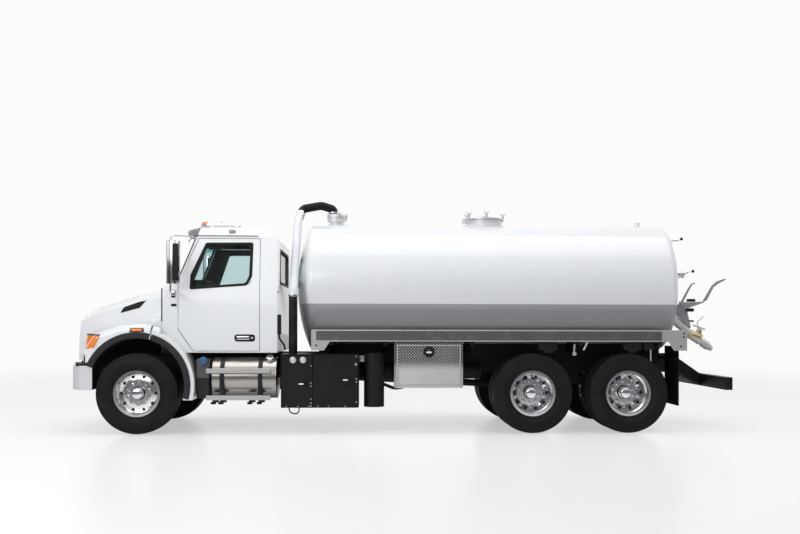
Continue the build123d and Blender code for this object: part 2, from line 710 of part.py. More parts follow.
def hood_pieces():
    """Hood shell with its fenders, and the lamps let into them."""
    wing, wing_inner = fender_form(0), fender_form(hood_wall)
    split = prism_y([(hood_rear_x - 100, 1500), (arch_centre_x + 150, 900), (hood_rear_x + 400, 900),
                     (hood_rear_x + 400, 1500)], -1500, -300)
    arch = rod((arch_centre_x, -1500, arch_centre_z), (arch_centre_x, -560, arch_centre_z), arch_radius)
    lamp_bar = prism_y(lamp_outline, -1400, -lamp_inner_y)
    pocket = lamp_bar & (fender_form(-1) - fender_form(lamp_depth + 1))
    solid = hood_form(0) + wing + mirrored(wing)
    hollow = hood_form(hood_wall) + wing_inner + mirrored(wing_inner)
    shell = solid - hollow
    for cut in (split, arch):
        shell -= cut
        shell -= mirrored(cut)
    shell -= prism_x(grille_outline(0), hood_front_x - 50, hood_front_x + 60)
    ear = hood_ear()
    shell = shell + ear + mirrored(ear)
    shell -= pocket
    shell -= mirrored(pocket)
    return shell, pair(lamp_bar & (fender_form(0) - fender_form(lamp_depth)))


def hood_ear():
    """Ear under the nose that turns on the bumper's pin."""
    y0, y1 = -hood_ear_y - 10, -hood_ear_y + 10
    ear = rod((hood_hinge_x, y0, hood_hinge_z), (hood_hinge_x, y1, hood_hinge_z), hood_ear_radius)
    ear += block(hood_front_x + 3, hood_hinge_x + hood_ear_radius - 2, y0, y1, hood_hinge_z, hood_nose_z + 38)
    return ear - rod((hood_hinge_x, y0 - 1, hood_hinge_z), (hood_hinge_x, y1 + 1, hood_hinge_z),
                     hood_pin_radius + hinge_fit)


def grille_outline(inset):
    """Outline of the nose's opening in Y and Z, drawn in by inset."""
    low_half, high_half = grille_half - inset, grille_half - 30 - inset
    return [(-low_half, grille_low_z + inset), (-high_half, grille_high_z - inset),
            (high_half, grille_high_z - inset), (low_half, grille_low_z + inset)]


def grille():
    """Surround with horizontal bars, set in the nose."""
    x0, x1 = hood_front_x - 12, hood_front_x + 30
    surround = prism_x(grille_outline(seat_gap), x0, x1) - prism_x(grille_outline(grille_rim), x0 - 5, x1 + 5)
    pitch = (grille_high_z - grille_low_z - 60) / grille_bars
    for i in range(grille_bars):
        z = grille_low_z + 30 + pitch * (i + 0.5)
        half = grille_half - 20 - 30 * (z - grille_low_z) / (grille_high_z - grille_low_z)
        surround += block(x0 + 12, x1, -half, half, z - 12, z + 12)
    return surround


# ================================================================ wheels


def tyre(radius, section, tread, y):
    """Tyre as a revolved section standing on the ground; its bore fits the rim."""
    half, t = section / 2, tread / 2
    bead = rim_radius + bead_fit
    seat = half - bead_half_cut - bead_fit
    right = [(t, radius), (t + (half - t) * 0.55, radius - 22), (half, radius - 115),
             (half - 6, radius - 175), (half - 30, rim_flange_radius + 20), (seat, rim_flange_radius + 4),
             (seat, bead)]
    points = right + [(-a, r) for a, r in reversed(right)]
    face = Face(Wire.make_polygon([Vector(0, y + a, r) for a, r in points]))
    return Solid.revolve(face, 360, Axis((0, 0, 0), (0, 1, 0)))


def revolved(points):
    """Section given as (Y, radius), turned about the axle."""
    face = Face(Wire.make_polygon([Vector(0, a, r) for a, r in points]))
    return Solid.revolve(face, 360, Axis((0, 0, 0), (0, 1, 0)))


def rim_barrel(section, y):
    """Drop-centre rim with its two flanges."""
    edge = section / 2 - bead_half_cut + rim_flange_wall
    well = rim_radius - 18
    half_profile = [(edge - 96, well), (edge - 76, rim_radius), (edge - rim_flange_wall, rim_radius),
                    (edge - rim_flange_wall, rim_flange_radius), (edge, rim_flange_radius),
                    (edge, rim_radius - rim_wall), (edge - 80, rim_radius - rim_wall),
                    (edge - 98, well - rim_wall)]
    outer, inner = half_profile[:5], half_profile[5:]
    profile = [(-a, r) for a, r in reversed(outer)] + outer + inner + [(-a, r) for a, r in reversed(inner)]
    return revolved([(y + a, r) for a, r in profile])


def wheel_disc(rim_y, face_y, out, well):
    """Dished disc from the rim at rim_y and radius well to the flat at face_y; out is its sense."""
    step = out * disc_wall
    disc = revolved([(rim_y, well), (rim_y + step, well), (face_y + step, disc_flat_radius),
                     (face_y + step, hub_radius - 5), (face_y, hub_radius - 5), (face_y, disc_flat_radius)])
    for i in range(hand_hole_count):
        a = 2 * pi * i / hand_hole_count
        x, z = hand_hole_circle * cos(a), hand_hole_circle * sin(a)
        disc -= rod((x, min(rim_y, face_y) - 60, z), (x, max(rim_y, face_y) + 60, z), hand_hole_radius)
    return disc


def nuts(face_y, out, length):
    """Ring of wheel nuts standing on a disc."""
    ring = []
    for i in range(nut_count):
        a = 2 * pi * (i + 0.5) / nut_count
        x, z = nut_circle * cos(a), nut_circle * sin(a)
        ring.append(rod((x, face_y - out, z), (x, face_y + out * length, z), 16))
    return ring


def front_wheel(side):
    """Front wheel and its hub; side is -1 for the left."""
    y = side * front_wheel_y
    face = y + side * (front_disc_out - disc_wall)
    well = rim_radius - 18 - rim_wall / 2
    wheel = rim_barrel(front_tyre_section, y) + wheel_disc(y + side * 10, face, side, well)
    hub_back = y - side * 20
    wheel += rod((0, hub_back, 0), (0, face + side * (disc_wall + 85), 0), hub_radius)
    for nut in nuts(face + side * disc_wall, side, 32):
        wheel += nut
    bore_end = side * (spindle_tip_y + hub_fit)
    bore = rod((0, hub_back - side, 0), (0, bore_end, 0), spindle_radius + hub_fit)
    return Pos(front_axle_x, 0, front_tyre_radius) * (wheel - bore)


def rear_wheel(side, x):
    """Twin wheels on one hub; side is -1 for the left."""
    outer, inner, centre = side * outer_twin_y, side * inner_twin_y, side * hub_middle_y
    wheel = rim_barrel(rear_tyre_section, outer) + rim_barrel(rear_tyre_section, inner)
    wheel += wheel_disc(outer - side * 55, centre, side, rim_radius - rim_wall / 2)
    wheel += wheel_disc(inner + side * 55, centre, -side, rim_radius - rim_wall / 2)
    wheel += rod((0, centre - side * 150, 0), (0, centre + side * disc_wall, 0), hub_radius + 20)
    wheel += rod((0, centre + side * (disc_wall - 1), 0), (0, centre + side * hub_reach, 0), hub_radius)
    for nut in nuts(centre + side * disc_wall, side, 40):
        wheel += nut
    bore = rod((0, centre - side * 151, 0), (0, side * (axle_end_y + hub_fit), 0), axle_tube_radius + hub_fit)
    return Pos(x, 0, rear_tyre_radius) * (wheel - bore)


def knuckle(side):
    """Steering knuckle: fork round the beam's eye, web and spindle."""
    y = side * kingpin_y
    z = front_tyre_radius
    x0, x1 = front_axle_x - 45, front_axle_x + 45
    inner, outer = y + side * 55, y + side * 80
    fork = block(x0, x1, min(inner, outer), max(inner, outer), z - 136, z + 136)
    for middle in (z - 105 - seat_gap, z + 105 + seat_gap):
        ear = Pos(front_axle_x, y, middle) * Cylinder(52, 60)
        ear += block(x0, x1, min(y, y + side * 75), max(y, y + side * 75), middle - 30, middle + 30)
        fork += ear
    spindle = rod((front_axle_x, y + side * 70, z), (front_axle_x, side * spindle_tip_y, z), spindle_radius)
    return fork + spindle


# ================================================================ tank and its fittings
def head_profile():
    """Points of a dished head measured from its seam: (depth, radius) pairs for two arcs."""
    tangent = asin((tank_radius - head_knuckle_radius) / (head_crown_radius - head_knuckle_radius))
    mid_crown, mid_knuckle = tangent / 2, (tangent + pi / 2) / 2
    join = (-head_span + head_crown_radius * cos(tangent), head_crown_radius * sin(tangent))
    crown = (-head_span + head_crown_radius * cos(mid_crown), head_crown_radius * sin(mid_crown))
    knuckle_mid = (head_knuckle_radius * cos(mid_knuckle),
                   tank_radius - head_knuckle_radius + head_knuckle_radius * sin(mid_knuckle))
    return join, crown, knuckle_mid


def tank():
    """Cylindrical vessel with a dished head at each end."""
    join, crown, knuckle_mid = head_profile()
    z = tank_centre_z

    def front(point):
        return (tank_front_x - point[0], 0, z + point[1])

    def rear(point):
        return (tank_rear_x + point[0], 0, z + point[1])
    seam = (0, tank_radius)
    apex = (head_depth, 0)
    edge = [ThreePointArc(front(apex), front(crown), front(join)),
            ThreePointArc(front(join), front(knuckle_mid), front(seam)),
            Line(front(seam), rear(seam)),
            ThreePointArc(rear(seam), rear(knuckle_mid), rear(join)),
            ThreePointArc(rear(join), rear(crown), rear(apex)),
            Line(rear(apex), front(apex))]
    face = Face(Wire(edge))
    return Solid.revolve(face, 360, Axis((0, 0, z), (1, 0, 0)))


def shell_clearance():
    """The vessel's cylinder grown by the seating gap, for cutting what sits against it."""
    return rod((tank_front_x - 1, 0, tank_centre_z), (tank_rear_x + 1, 0, tank_centre_z),
               tank_radius + seat_gap)


def head_clearance():
    """The rear head's crown grown by the seating gap."""
    ball = Pos(tank_rear_x - head_span, 0, tank_centre_z) * Sphere(head_crown_radius + seat_gap)
    return ball & block(tank_rear_x - 100, tank_rear_x + 500, -800, 800, 1000, 3000)


def tank_cradle():
    """Sills on the rails, saddles under the vessel and the outriggers of the trays."""
    tank_clear = shell_clearance()
    cradle = block(tank_front_x + 60, tank_rear_x - 40, -rail_outer_y, -rail_outer_y + rail_flange,
                   rail_top_z + seat_gap, rail_top_z + 200)
    cradle += mirrored(cradle)
    half = tray_inner_y - 4
    for x in saddle_x:
        cradle += prism_x([(-rail_outer_y, rail_top_z + seat_gap), (rail_outer_y, rail_top_z + seat_gap),
                           (half, tray_bottom_z - 90), (half, tray_top_z), (-half, tray_top_z),
                           (-half, tray_bottom_z - 90)], x - 40, x + 40)
        arm = prism_x([(-half + 2, tray_bottom_z - 90), (-half + 2, tray_bottom_z - seat_gap),
                       (-side_y + 40, tray_bottom_z - seat_gap), (-side_y + 40, tray_bottom_z - 50)],
                      x - 30, x + 30)
        cradle += arm + mirrored(arm)
    return cradle - tank_clear


def hose_trays():
    """Open troughs along both sides of the vessel."""
    outer = block(tank_front_x, tray_rear_x, -side_y, -tray_inner_y, tray_bottom_z, tray_top_z)
    inner = block(tank_front_x + tray_wall, tray_rear_x - tray_wall, -side_y + tray_wall,
                  -tray_inner_y - tray_wall, tray_bottom_z + tray_wall, tray_top_z + 10)
    tray = outer - inner
    for end_x, inward, foot in ((tank_front_x, 1, 170), (tray_rear_x, -1, 180)):
        tray += prism_y([(end_x, tray_bottom_z + 5), (end_x + inward * (foot + 80), tray_bottom_z + 5),
                         (end_x + inward * foot, tray_bottom_z - 119), (end_x, tray_bottom_z - 119)],
                        -side_y, -side_y + tray_wall)
    return pair(tray)


# ================================================================ boxes on the frame


def pump_cabinet():
    """Black pump cabinet, open at its outer side where its doors close it."""
    back_y = cabinet_face_y + cabinet_depth
    sill_z, head_z = cabinet_low_z + cabinet_wall, cabinet_high_z - cabinet_wall
    cabinet = block(cabinet_front_x, cabinet_rear_x, cabinet_face_y, back_y, cabinet_low_z, cabinet_high_z)
    cabinet -= block(cabinet_front_x + cabinet_wall, cabinet_rear_x - cabinet_wall, cabinet_face_y - 10,
                     back_y - cabinet_wall, sill_z, head_z)
    cabinet += block(cabinet_split_x - 20, cabinet_split_x + 12, cabinet_face_y + cabinet_door + 6,
                     cabinet_face_y + 100, sill_z - 1, head_z + 1)
    cabinet += block(cabinet_split_x - 9, cabinet_split_x, cabinet_face_y, cabinet_face_y + 100,
                     sill_z - 1, head_z + 1)
    hanger = block(cabinet_front_x + 120, cabinet_front_x + 200, back_y - 1, -rail_outer_y - seat_gap,
                   rail_bottom_z + 60, rail_bottom_z + 200)
    cabinet += hanger + Pos(cabinet_length - 430, 0, 0) * hanger
    cabinet += rod((cabinet_front_x + 200, -870, 640), (cabinet_rear_x - 150, -870, 640), 170)
    cabinet += block(cabinet_front_x + 240, cabinet_rear_x - 200, -960, -780, sill_z - 1, 560)
    for fixed in cabinet_doors()[1]:
        cabinet += fixed
    return cabinet


def cabinet_doors():
    """Two flush doors with their T-shaped latches, and the fixed halves of their hinges."""
    doors, hinges = [], []
    low_z, high_z = cabinet_low_z + cabinet_wall + 6, cabinet_high_z - cabinet_wall - 6
    for x0, x1 in ((cabinet_front_x + cabinet_wall + 6, cabinet_split_x - 15),
                   (cabinet_split_x + 6, cabinet_rear_x - cabinet_wall - 6)):
        door = block(x0, x1, cabinet_face_y, cabinet_face_y + cabinet_door, low_z, high_z)
        latch_x = x1 - 85
        door += block(latch_x - 9, latch_x + 9, cabinet_face_y - 26, cabinet_face_y + 1, 620, 720)
        axis_x = x0 - 3
        for z in (cabinet_low_z + 110, cabinet_high_z - 110):
            low, high = (axis_x, cabinet_axis_y, z - 50), (axis_x, cabinet_axis_y, z + 50)
            fixed, moving = barrels(low, high, barrel_radius,
                                    lambda p, q: upright_leaf(axis_x - 9, axis_x, cabinet_face_y, p, q),
                                    lambda p, q: upright_leaf(axis_x, axis_x + 25, cabinet_face_y, p, q))
            door += moving
            hinges.append(fixed)
        doors.append(door)
    return doors, hinges


def oil_separator():
    """Upright separator drum beside the cabinet."""
    drum = rod((separator_x, -1000, 354), (separator_x, -1000, 1078), separator_radius)
    arm = block(separator_x - 60, separator_x + 60, -1000, -rail_outer_y - seat_gap, 880, 960)
    return drum + arm


def vacuum_pipe():
    """Pipe from the cabinet up beside the cab's back and over to the tank's top."""
    return pipe([(pipe_x, -950, cabinet_high_z + seat_gap), (pipe_x, -950, 1900), pipe_knee, pipe_mouth],
                pipe_radius, [200, 120])


def vacuum_hose():
    """Rubber hose from the pipe's mouth, over and down onto the shut-off."""
    mouth = Vector(*pipe_mouth)
    out = (mouth - Vector(*pipe_knee)).normalized()
    drop_x = shut_off_x - 40
    route = [tuple(mouth + out * seat_gap), tuple(mouth + out * 89), (pipe_x + 330, 0, hose_crest_z),
             (drop_x, 0, shut_off_z + 79), (drop_x, 0, shut_off_z + seat_gap)]
    return pipe(route, hose_radius, [70, 150, 66])


def tank_fittings():
    """Primary shut-off ahead and the small vent behind, on top of the vessel."""
    top = tank_centre_z + tank_radius
    shut_off = rod((shut_off_x, 0, top - 30), (shut_off_x, 0, top + 40), 95)
    shut_off += rod((shut_off_x, 0, top + 39), (shut_off_x, 0, shut_off_z), 130)
    shut_off -= shell_clearance()
    small = rod((tank_rear_x - 240, 0, top - 10), (tank_rear_x - 240, 0, top + 60), 40) - shell_clearance()
    return [shut_off, small]


def manway():
    """Neck with its hinge lugs, and the lid with its swing bolts and wing nuts."""
    top = tank_centre_z + tank_radius
    rim = top + manway_height
    neck = rod((manway_x, 0, top - 60), (manway_x, 0, rim), manway_radius) \
        - rod((manway_x, 0, top - 70), (manway_x, 0, rim + 5), manway_radius - manway_wall)
    hinge_x = manway_x - manway_hinge_reach
    hinge_z = rim + 15
    for y in (-80, 64):
        neck += block(hinge_x - 14, manway_x - manway_radius + manway_wall - 4, y, y + 16, rim - 30, rim - 5)
        neck += block(hinge_x - 14, hinge_x + 14, y, y + 16, rim - 6, hinge_z + 14)
    neck += rod((hinge_x, -79, hinge_z), (hinge_x, 79, hinge_z), manway_pin_radius)
    neck -= shell_clearance()
    lid = rod((manway_x, 0, rim + seat_gap), (manway_x, 0, rim + lid_thick), manway_radius + 25)
    lid += block(hinge_x - 12, manway_x - manway_radius - 10, -60, 60, rim + 3, rim + 27)
    lid -= rod((hinge_x, -90, hinge_z), (hinge_x, 90, hinge_z), manway_pin_radius + manway_pin_fit)
    for a in swing_bolt_angles:
        x, y = manway_x + swing_bolt_circle * cos(a * pi / 180), swing_bolt_circle * sin(a * pi / 180)
        lid += rod((x, y, rim - swing_bolt_drop), (x, y, rim + 105), 8)
        lid += rod((x, y, rim + lid_thick - 1), (x, y, rim + 62), 17)
        for way in (-1, 1):
            lid += rod((x, y, rim + 55), (x + way * 42, y, rim + 112), 7)
    return neck, lid


def discharge():
    """Drain elbow, valve and hose spigot low on the rear head."""
    x, axis = tank_rear_x, Vector(*drain_run).normalized()
    drain_end = Vector(*drain_tip)
    elbow = rod(drain_root, drain_end, drain_radius) - head_clearance()
    valve = rod(drain_end - axis * 20, drain_end + axis * valve_reach, valve_radius)
    stem = rod((x + 650, 0, 1290), (x + 703, 0, 1406), 34)
    stem += rod((x + 605, 0, 1465), (x + 786, 0, 1399), 13)
    stem += rod((x + 680, 0, 1390), (x + 706, 0, 1440), 16)
    handle = pipe([(x + 690, 0, 1425), (x + 655, 0, 1500), (x + 763, 0, 1592)], 7, [60])
    coupler_end = drain_end + axis * coupler_reach
    coupler = rod(drain_end + axis * (valve_reach - 5), coupler_end, coupler_radius)
    for share in (0.30, 0.62):
        ring = drain_end + axis * (valve_reach + share * (coupler_reach - valve_reach))
        coupler += rod(ring, ring + axis * 26, coupler_radius + 11)
    spigot = rod(coupler_end - axis, coupler_end + axis * spigot_length, spigot_radius)
    return elbow + valve + stem + handle + coupler + spigot


def levers():
    """Main valve's casting on the rear head with its two long levers and their grips."""
    x = tank_rear_x
    outer_y = lever_inner_y - lever_plate
    casting = prism_y([(x + 236, 1705), (x + 240, 1790), (x + 500, 1690), (x + 535, 1540), (x + 562, 1420),
                       (x + 470, 1490), (x + 364, 1600)], -40, 60)
    hub = rod((valve_hub_x, -75, valve_hub_z), (valve_hub_x, 61, valve_hub_z), valve_hub_radius)
    body = casting + hub - head_clearance() - rod(drain_root, drain_tip, drain_radius + seat_gap)
    plate = prism_y([(x + 371, 1813), (x + 474, 1798), (x + 740, 1811), (x + 740, 1795), (x + 559, 1732),
                     (x + 484, 1700), (x + 400, 1690), (x + 371, 1740)], outer_y, lever_inner_y)
    long_lever = prism_y([(x + 725, 1799), (x + 785, 1829), (x + 890, 2023), (x + 951, 2070), (rear_x, 2135),
                          (rear_x - 4, 2152), (x + 936, 2112), (x + 860, 2045), (x + 732, 1826)],
                         outer_y, lever_inner_y)
    short_lever = prism_y([(x + 400, 1800), (x + 440, 1800), (x + 533, 1985), (x + 577, 2060),
                           (x + 620, 2078), (x + 612, 2094), (x + 560, 2074), (x + 508, 1998)],
                          lever_inner_y - 0.5, lever_inner_y - 0.5 + short_lever_width)
    grips = rod((x + 490, -62, 1750), (x + 490, -62, 1829), 8)
    grips += rod((x + 488, -62, 1829), (x + 614, -62, 1829), 18)
    grips += rod((x + 470, -60, 1687), (x + 592, -60, 1687), 22)
    grips += rod((x + 520, -30, 1524), (x + 606, -30, 1524), 9)
    return body + plate + long_lever + short_lever + grips


def gauges():
    """Level gauges on the rear head: a short cock above and a round glass with its cock below."""
    x = tank_rear_x
    upper = rod((x + 60, 0, gauge_upper_z), (x + 381, 0, gauge_upper_z + 21), 14) - head_clearance()
    upper += rod((x + 375, 0, gauge_upper_z + 19), (x + 430, 0, gauge_upper_z + 39), 7)
    upper += Pos(x + 429, 0, gauge_upper_z + 41) * Sphere(gauge_ball_radius)
    glass = rod((x + 100, 0, gauge_lower_z), (x + 460, 0, gauge_lower_z), gauge_glass_radius)
    glass -= head_clearance()
    glass += rod((x + 455, 0, gauge_lower_z + 10), (x + 530, 0, gauge_lower_z + 31), 13)
    glass += rod((x + 521, 0, gauge_lower_z + 29), (x + 600, 0, gauge_lower_z + 47), 6)
    glass += Pos(x + 603, 0, gauge_lower_z + 47) * Sphere(gauge_ball_radius)
    return [upper, glass]


def underrun_guard():
    """Rear bar on two drop arms from the last cross member."""
    high_z = guard_low_z + guard_height
    bar = block(guard_x, guard_x + guard_depth, -guard_half, guard_half, guard_low_z, high_z)
    outline = [(rail_rear_x + seat_gap, 1040), (rail_rear_x + 60, 1045), (guard_x + 5, high_z),
               (guard_x + 5, guard_low_z), (rail_rear_x + 40, 815), (rail_rear_x + seat_gap, 815)]
    for y in guard_arm_y:
        bar += prism_y(outline, y, y + guard_arm)
    return bar


def mudguards():
    """Mud flaps behind the tandem with their hanger bars."""
    flap_x = rear_axles["rearward"] + 670
    flap = prism_x([(-1210, 370), (-1210, 1100), (-1150, 1175), (-620, 1175), (-620, 370)],
                   flap_x, flap_x + 12)
    bar = rod((flap_x - 15, -1180, 1000), (flap_x - 15, -rail_outer_y - seat_gap, 1000), 20)
    return pair(flap + bar)


def toolbox():
    """Box with a drop-down door; the door closes its outer side."""
    x0, x1 = toolbox_x, toolbox_x + toolbox_length
    back_y = -side_y + toolbox_depth
    shell = block(x0, x1, -side_y, back_y, toolbox_low_z, toolbox_high_z)
    shell -= block(x0 + 10, x1 - 10, -side_y - 5, back_y - 10, toolbox_low_z + 10, toolbox_high_z - 10)
    hanger = block(x0 + 120, x0 + 200, back_y - 1, -rail_outer_y - seat_gap, 860, 1000)
    shell += hanger + Pos(toolbox_length - 320, 0, 0) * hanger
    door = block(x0 + 16, x1 - 16, -side_y, -side_y + toolbox_door_thick,
                 toolbox_low_z + 17, toolbox_high_z - 16)
    middle_x = (x0 + x1) / 2
    door += rod((middle_x, -side_y - 12, 1100), (middle_x, -side_y + 5, 1100), 39)
    axis_y, axis_z = toolbox_axis_y, toolbox_axis_z
    fixed, moving = barrels((x0 + 40, axis_y, axis_z), (x1 - 40, axis_y, axis_z), barrel_radius,
                            lambda p, q: block(p.X, q.X, -side_y - 4, -side_y + 1, axis_z - 14, axis_z),
                            lambda p, q: block(p.X, q.X, -side_y - 4, -side_y + 1, axis_z, axis_z + 25))
    return shell + fixed, door + moving


# ================================================================ beside the cab


def fuel_tank():
    """Round fuel tank with its filler."""
    drum = rod((fuel_x, fuel_y, fuel_z), (fuel_x + fuel_length, fuel_y, fuel_z), fuel_radius)
    drum = fillet(drum.edges().filter_by(GeomType.CIRCLE), 22)
    filler = rod((fuel_x + 760, fuel_y - 110, fuel_z + 230), (fuel_x + 760, fuel_y - 150, fuel_z + 300), 42)
    return drum + filler


def cab_steps():
    """Straps and brackets round the fuel tank with two step bars."""
    straps = None
    for x in (fuel_x + 138, fuel_x + 641):
        ring = rod((x - 30, fuel_y, fuel_z), (x + 30, fuel_y, fuel_z), fuel_radius + 8) \
            - rod((x - 31, fuel_y, fuel_z), (x + 31, fuel_y, fuel_z), fuel_radius + seat_gap)
        bracket = block(x - 30, x + 30, fuel_y + fuel_radius - 20, -rail_outer_y - seat_gap, 800, 1000) \
            - rod((x - 31, fuel_y, fuel_z), (x + 31, fuel_y, fuel_z), fuel_radius + 4)
        hook = block(x - 25, x + 25, -1215, -1165, 470, 860)
        hook += block(x - 25, x + 25, -1170, fuel_y, 440, 462)
        hook -= rod((x - 40, fuel_y, fuel_z), (x + 40, fuel_y, fuel_z), fuel_radius + 4)
        part = ring + bracket + hook
        straps = part if straps is None else straps + part
    for z in (843.0, 487.0):
        straps += block(fuel_x - 62, fuel_x + 782, -1225, -1205, z - 30, z + 30)
    return straps


def def_tank():
    """Small additive tank ahead of the fuel tank."""
    body = block(fuel_x - 206, fuel_x - 29, -1130, -700, 474, 1000)
    body = fillet(body.edges().filter_by(Axis.Z), 25)
    cap = rod((fuel_x - 108, -1110, 964), (fuel_x - 108, -1165, 975), 50)
    arm = block(fuel_x - 150, fuel_x - 80, -710, -rail_outer_y - seat_gap, 800, 900)
    return body + cap + arm


def right_side_boxes():
    """Exhaust treatment box with its step, and the battery box, on the passenger's side."""
    treat = block(fuel_x - 150, fuel_x + 780, 560, 1180, 480, 1010)
    treat = fillet(treat.edges().filter_by(Axis.X), 40)
    arm = block(fuel_x + 100, fuel_x + 180, rail_outer_y + seat_gap, 570, 820, 960)
    arm += Pos(500, 0, 0) * arm
    battery = block(cabinet_front_x + 60, cabinet_front_x + 760, 620, 1180, 520, 1000)
    arm2 = block(cabinet_front_x + 150, cabinet_front_x + 230, rail_outer_y + seat_gap, 630, 820, 960)
    arm2 += Pos(400, 0, 0) * arm2
    return [treat + arm, battery + arm2]


def fender_extensions():
    """Rear part of the front fenders, carried by the cab."""
    split_top, split_low = hood_rear_x - 95 + panel_gap * 1.2, arch_centre_x + 150 + panel_gap * 1.2
    near, far = -fender_outer_y + 5, -fender_inner_y
    ring = rod((arch_centre_x, near, arch_centre_z), (arch_centre_x, far, arch_centre_z),
               arch_radius + fender_depth)
    rear_low = arch_centre_x + 2000
    ring &= prism_y([(split_top, 1500), (split_low, 900), (arch_centre_x + 200, fender_low_z),
                     (rear_low, fender_low_z), (rear_low, 1500)], -1500, -300)
    collar = prism_y([(split_top + 8, 1437), (cab_front_x - seat_gap, 1410), (cab_front_x - seat_gap, 1250),
                      (split_top - 20, 1250)], near, far)
    crown = [edge for edge in collar.faces().sort_by(Axis.Y)[0].edges() if edge.center().Z > 1420]
    piece = ring + fillet(crown, 60)
    piece -= rod((arch_centre_x, -1500, arch_centre_z), (arch_centre_x, -500, arch_centre_z), arch_radius)
    return piece - block(cab_front_x - seat_gap, cab_rear_x, -cab_half_width - seat_gap, cab_half_width,
                         cab_floor_z - seat_gap, 3000)


# ================================================================ build
def main():
    """Write every piece of the truck to its own file."""
    os.makedirs("parts", exist_ok=True)
    save("frame", frame_rails())
    save("front_axle", front_axle())
    save("rear_axles", rear_running_gear())
    save("powertrain", powertrain())
    save("bumper", bumper())
    shell, fixed, door, glass = cab_pieces()
    save("cab_shell", shell)
    save("cab_glass", *fixed)
    save("cab_interior", *cab_interior())
    save("door_left", door)
    save("door_right", mirrored(door))
    save("door_glass_left", glass)
    save("door_glass_right", mirrored(glass))
    save("mirrors", pair(mirrors()))
    save("roof_fittings", *roof_fittings())
    hood, lamps = hood_pieces()
    save("hood", hood)
    save("headlamps", lamps)
    save("grille", grille())
    save("fender_extensions", pair(fender_extensions()))
    for side, name in ((-1, "left"), (1, "right")):
        save(f"knuckle_{name}", knuckle(side))
        save(f"front_wheel_{name}", front_wheel(side))
        save(f"front_tyre_{name}", Pos(front_axle_x, 0, front_tyre_radius)
             * tyre(front_tyre_radius, front_tyre_section, front_tread_width, side * front_wheel_y))
        for row, x in rear_axles.items():
            save(f"{row}_wheel_{name}", rear_wheel(side, x))
            twins = [tyre(rear_tyre_radius, rear_tyre_section, rear_tread_width, side * y)
                     for y in (outer_twin_y, inner_twin_y)]
            save(f"{row}_tyres_{name}", *[Pos(x, 0, rear_tyre_radius) * twin for twin in twins])
    save("tank_shell", tank())
    save("tank_cradle", tank_cradle())
    save("hose_trays", hose_trays())
    save("tank_fittings", *tank_fittings())
    neck, lid = manway()
    save("manway_neck", neck)
    save("manway_lid", lid)
    save("pump_cabinet", pump_cabinet())
    for name, leaf in zip(("front", "rear"), cabinet_doors()[0]):
        save(f"cabinet_door_{name}", leaf)
    save("oil_separator", oil_separator())
    save("vacuum_pipe", vacuum_pipe())
    save("vacuum_hose", vacuum_hose())
    save("discharge_valve", discharge())
    save("valve_levers", levers())
    save("level_gauges", *gauges())
    save("underrun_guard", underrun_guard())
    save("mudguards", mudguards())
    tool_shell, tool_door = toolbox()
    save("toolbox", tool_shell)
    save("toolbox_door", tool_door)
    save("fuel_tank", fuel_tank())
    save("cab_steps", cab_steps())
    save("additive_tank", def_tank())
    save("right_side_boxes", *right_side_boxes())


if __name__ == "__main__":
    main()
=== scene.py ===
"""Vacuum tanker truck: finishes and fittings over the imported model.

Metres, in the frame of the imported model: +Z up with the ground at Z = 0, the front of the truck at -X
and the driver's side at -Y.
"""

from __future__ import annotations

import json
import logging
import math
from dataclasses import dataclass
from enum import Enum
from typing import Any, Callable, Iterable, Sequence

import bmesh
import bpy
from mathutils import Matrix, Vector
from mathutils.bvhtree import BVHTree

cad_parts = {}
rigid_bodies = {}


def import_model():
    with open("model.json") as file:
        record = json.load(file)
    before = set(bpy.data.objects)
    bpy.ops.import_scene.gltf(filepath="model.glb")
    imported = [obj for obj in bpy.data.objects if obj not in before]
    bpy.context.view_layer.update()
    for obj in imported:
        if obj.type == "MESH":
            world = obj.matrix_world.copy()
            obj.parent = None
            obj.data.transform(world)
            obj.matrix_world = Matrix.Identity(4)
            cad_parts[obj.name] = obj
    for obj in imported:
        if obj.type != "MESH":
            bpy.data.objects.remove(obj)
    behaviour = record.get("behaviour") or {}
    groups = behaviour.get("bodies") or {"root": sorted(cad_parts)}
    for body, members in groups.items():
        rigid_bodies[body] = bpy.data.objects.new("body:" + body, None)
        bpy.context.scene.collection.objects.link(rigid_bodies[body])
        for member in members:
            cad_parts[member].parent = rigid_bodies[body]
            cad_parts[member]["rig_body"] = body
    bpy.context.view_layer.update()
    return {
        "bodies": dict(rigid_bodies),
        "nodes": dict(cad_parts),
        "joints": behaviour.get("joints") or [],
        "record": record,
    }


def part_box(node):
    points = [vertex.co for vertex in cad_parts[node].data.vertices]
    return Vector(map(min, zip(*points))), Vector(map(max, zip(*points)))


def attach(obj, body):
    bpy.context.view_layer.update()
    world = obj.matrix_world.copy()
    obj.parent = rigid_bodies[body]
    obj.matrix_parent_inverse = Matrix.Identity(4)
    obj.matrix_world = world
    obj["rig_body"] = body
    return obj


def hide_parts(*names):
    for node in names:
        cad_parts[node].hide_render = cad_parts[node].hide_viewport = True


LOG = logging.getLogger("tanker")

Point = tuple[float, float, float]
Colour = tuple[float, float, float]
Flat = tuple[float, float]
Mesh = bpy.types.Mesh
Object = bpy.types.Object
Material = bpy.types.Material

CHASSIS = "chassis"
FULL_TURN = 2 * math.pi
MERGE = 0.00002
RAY_START = 3.0      # how far out beside the truck a ray starts
RAY_MISS = 2.9       # a hit further out than this is a miss
FLANK = 1.2          # about how far out the truck's flank stands
SUNK = 0.003         # how far a fitting's back lies under the skin
SIDE_NAME = {-1: "left", 1: "right"}
SIDES = tuple(SIDE_NAME)


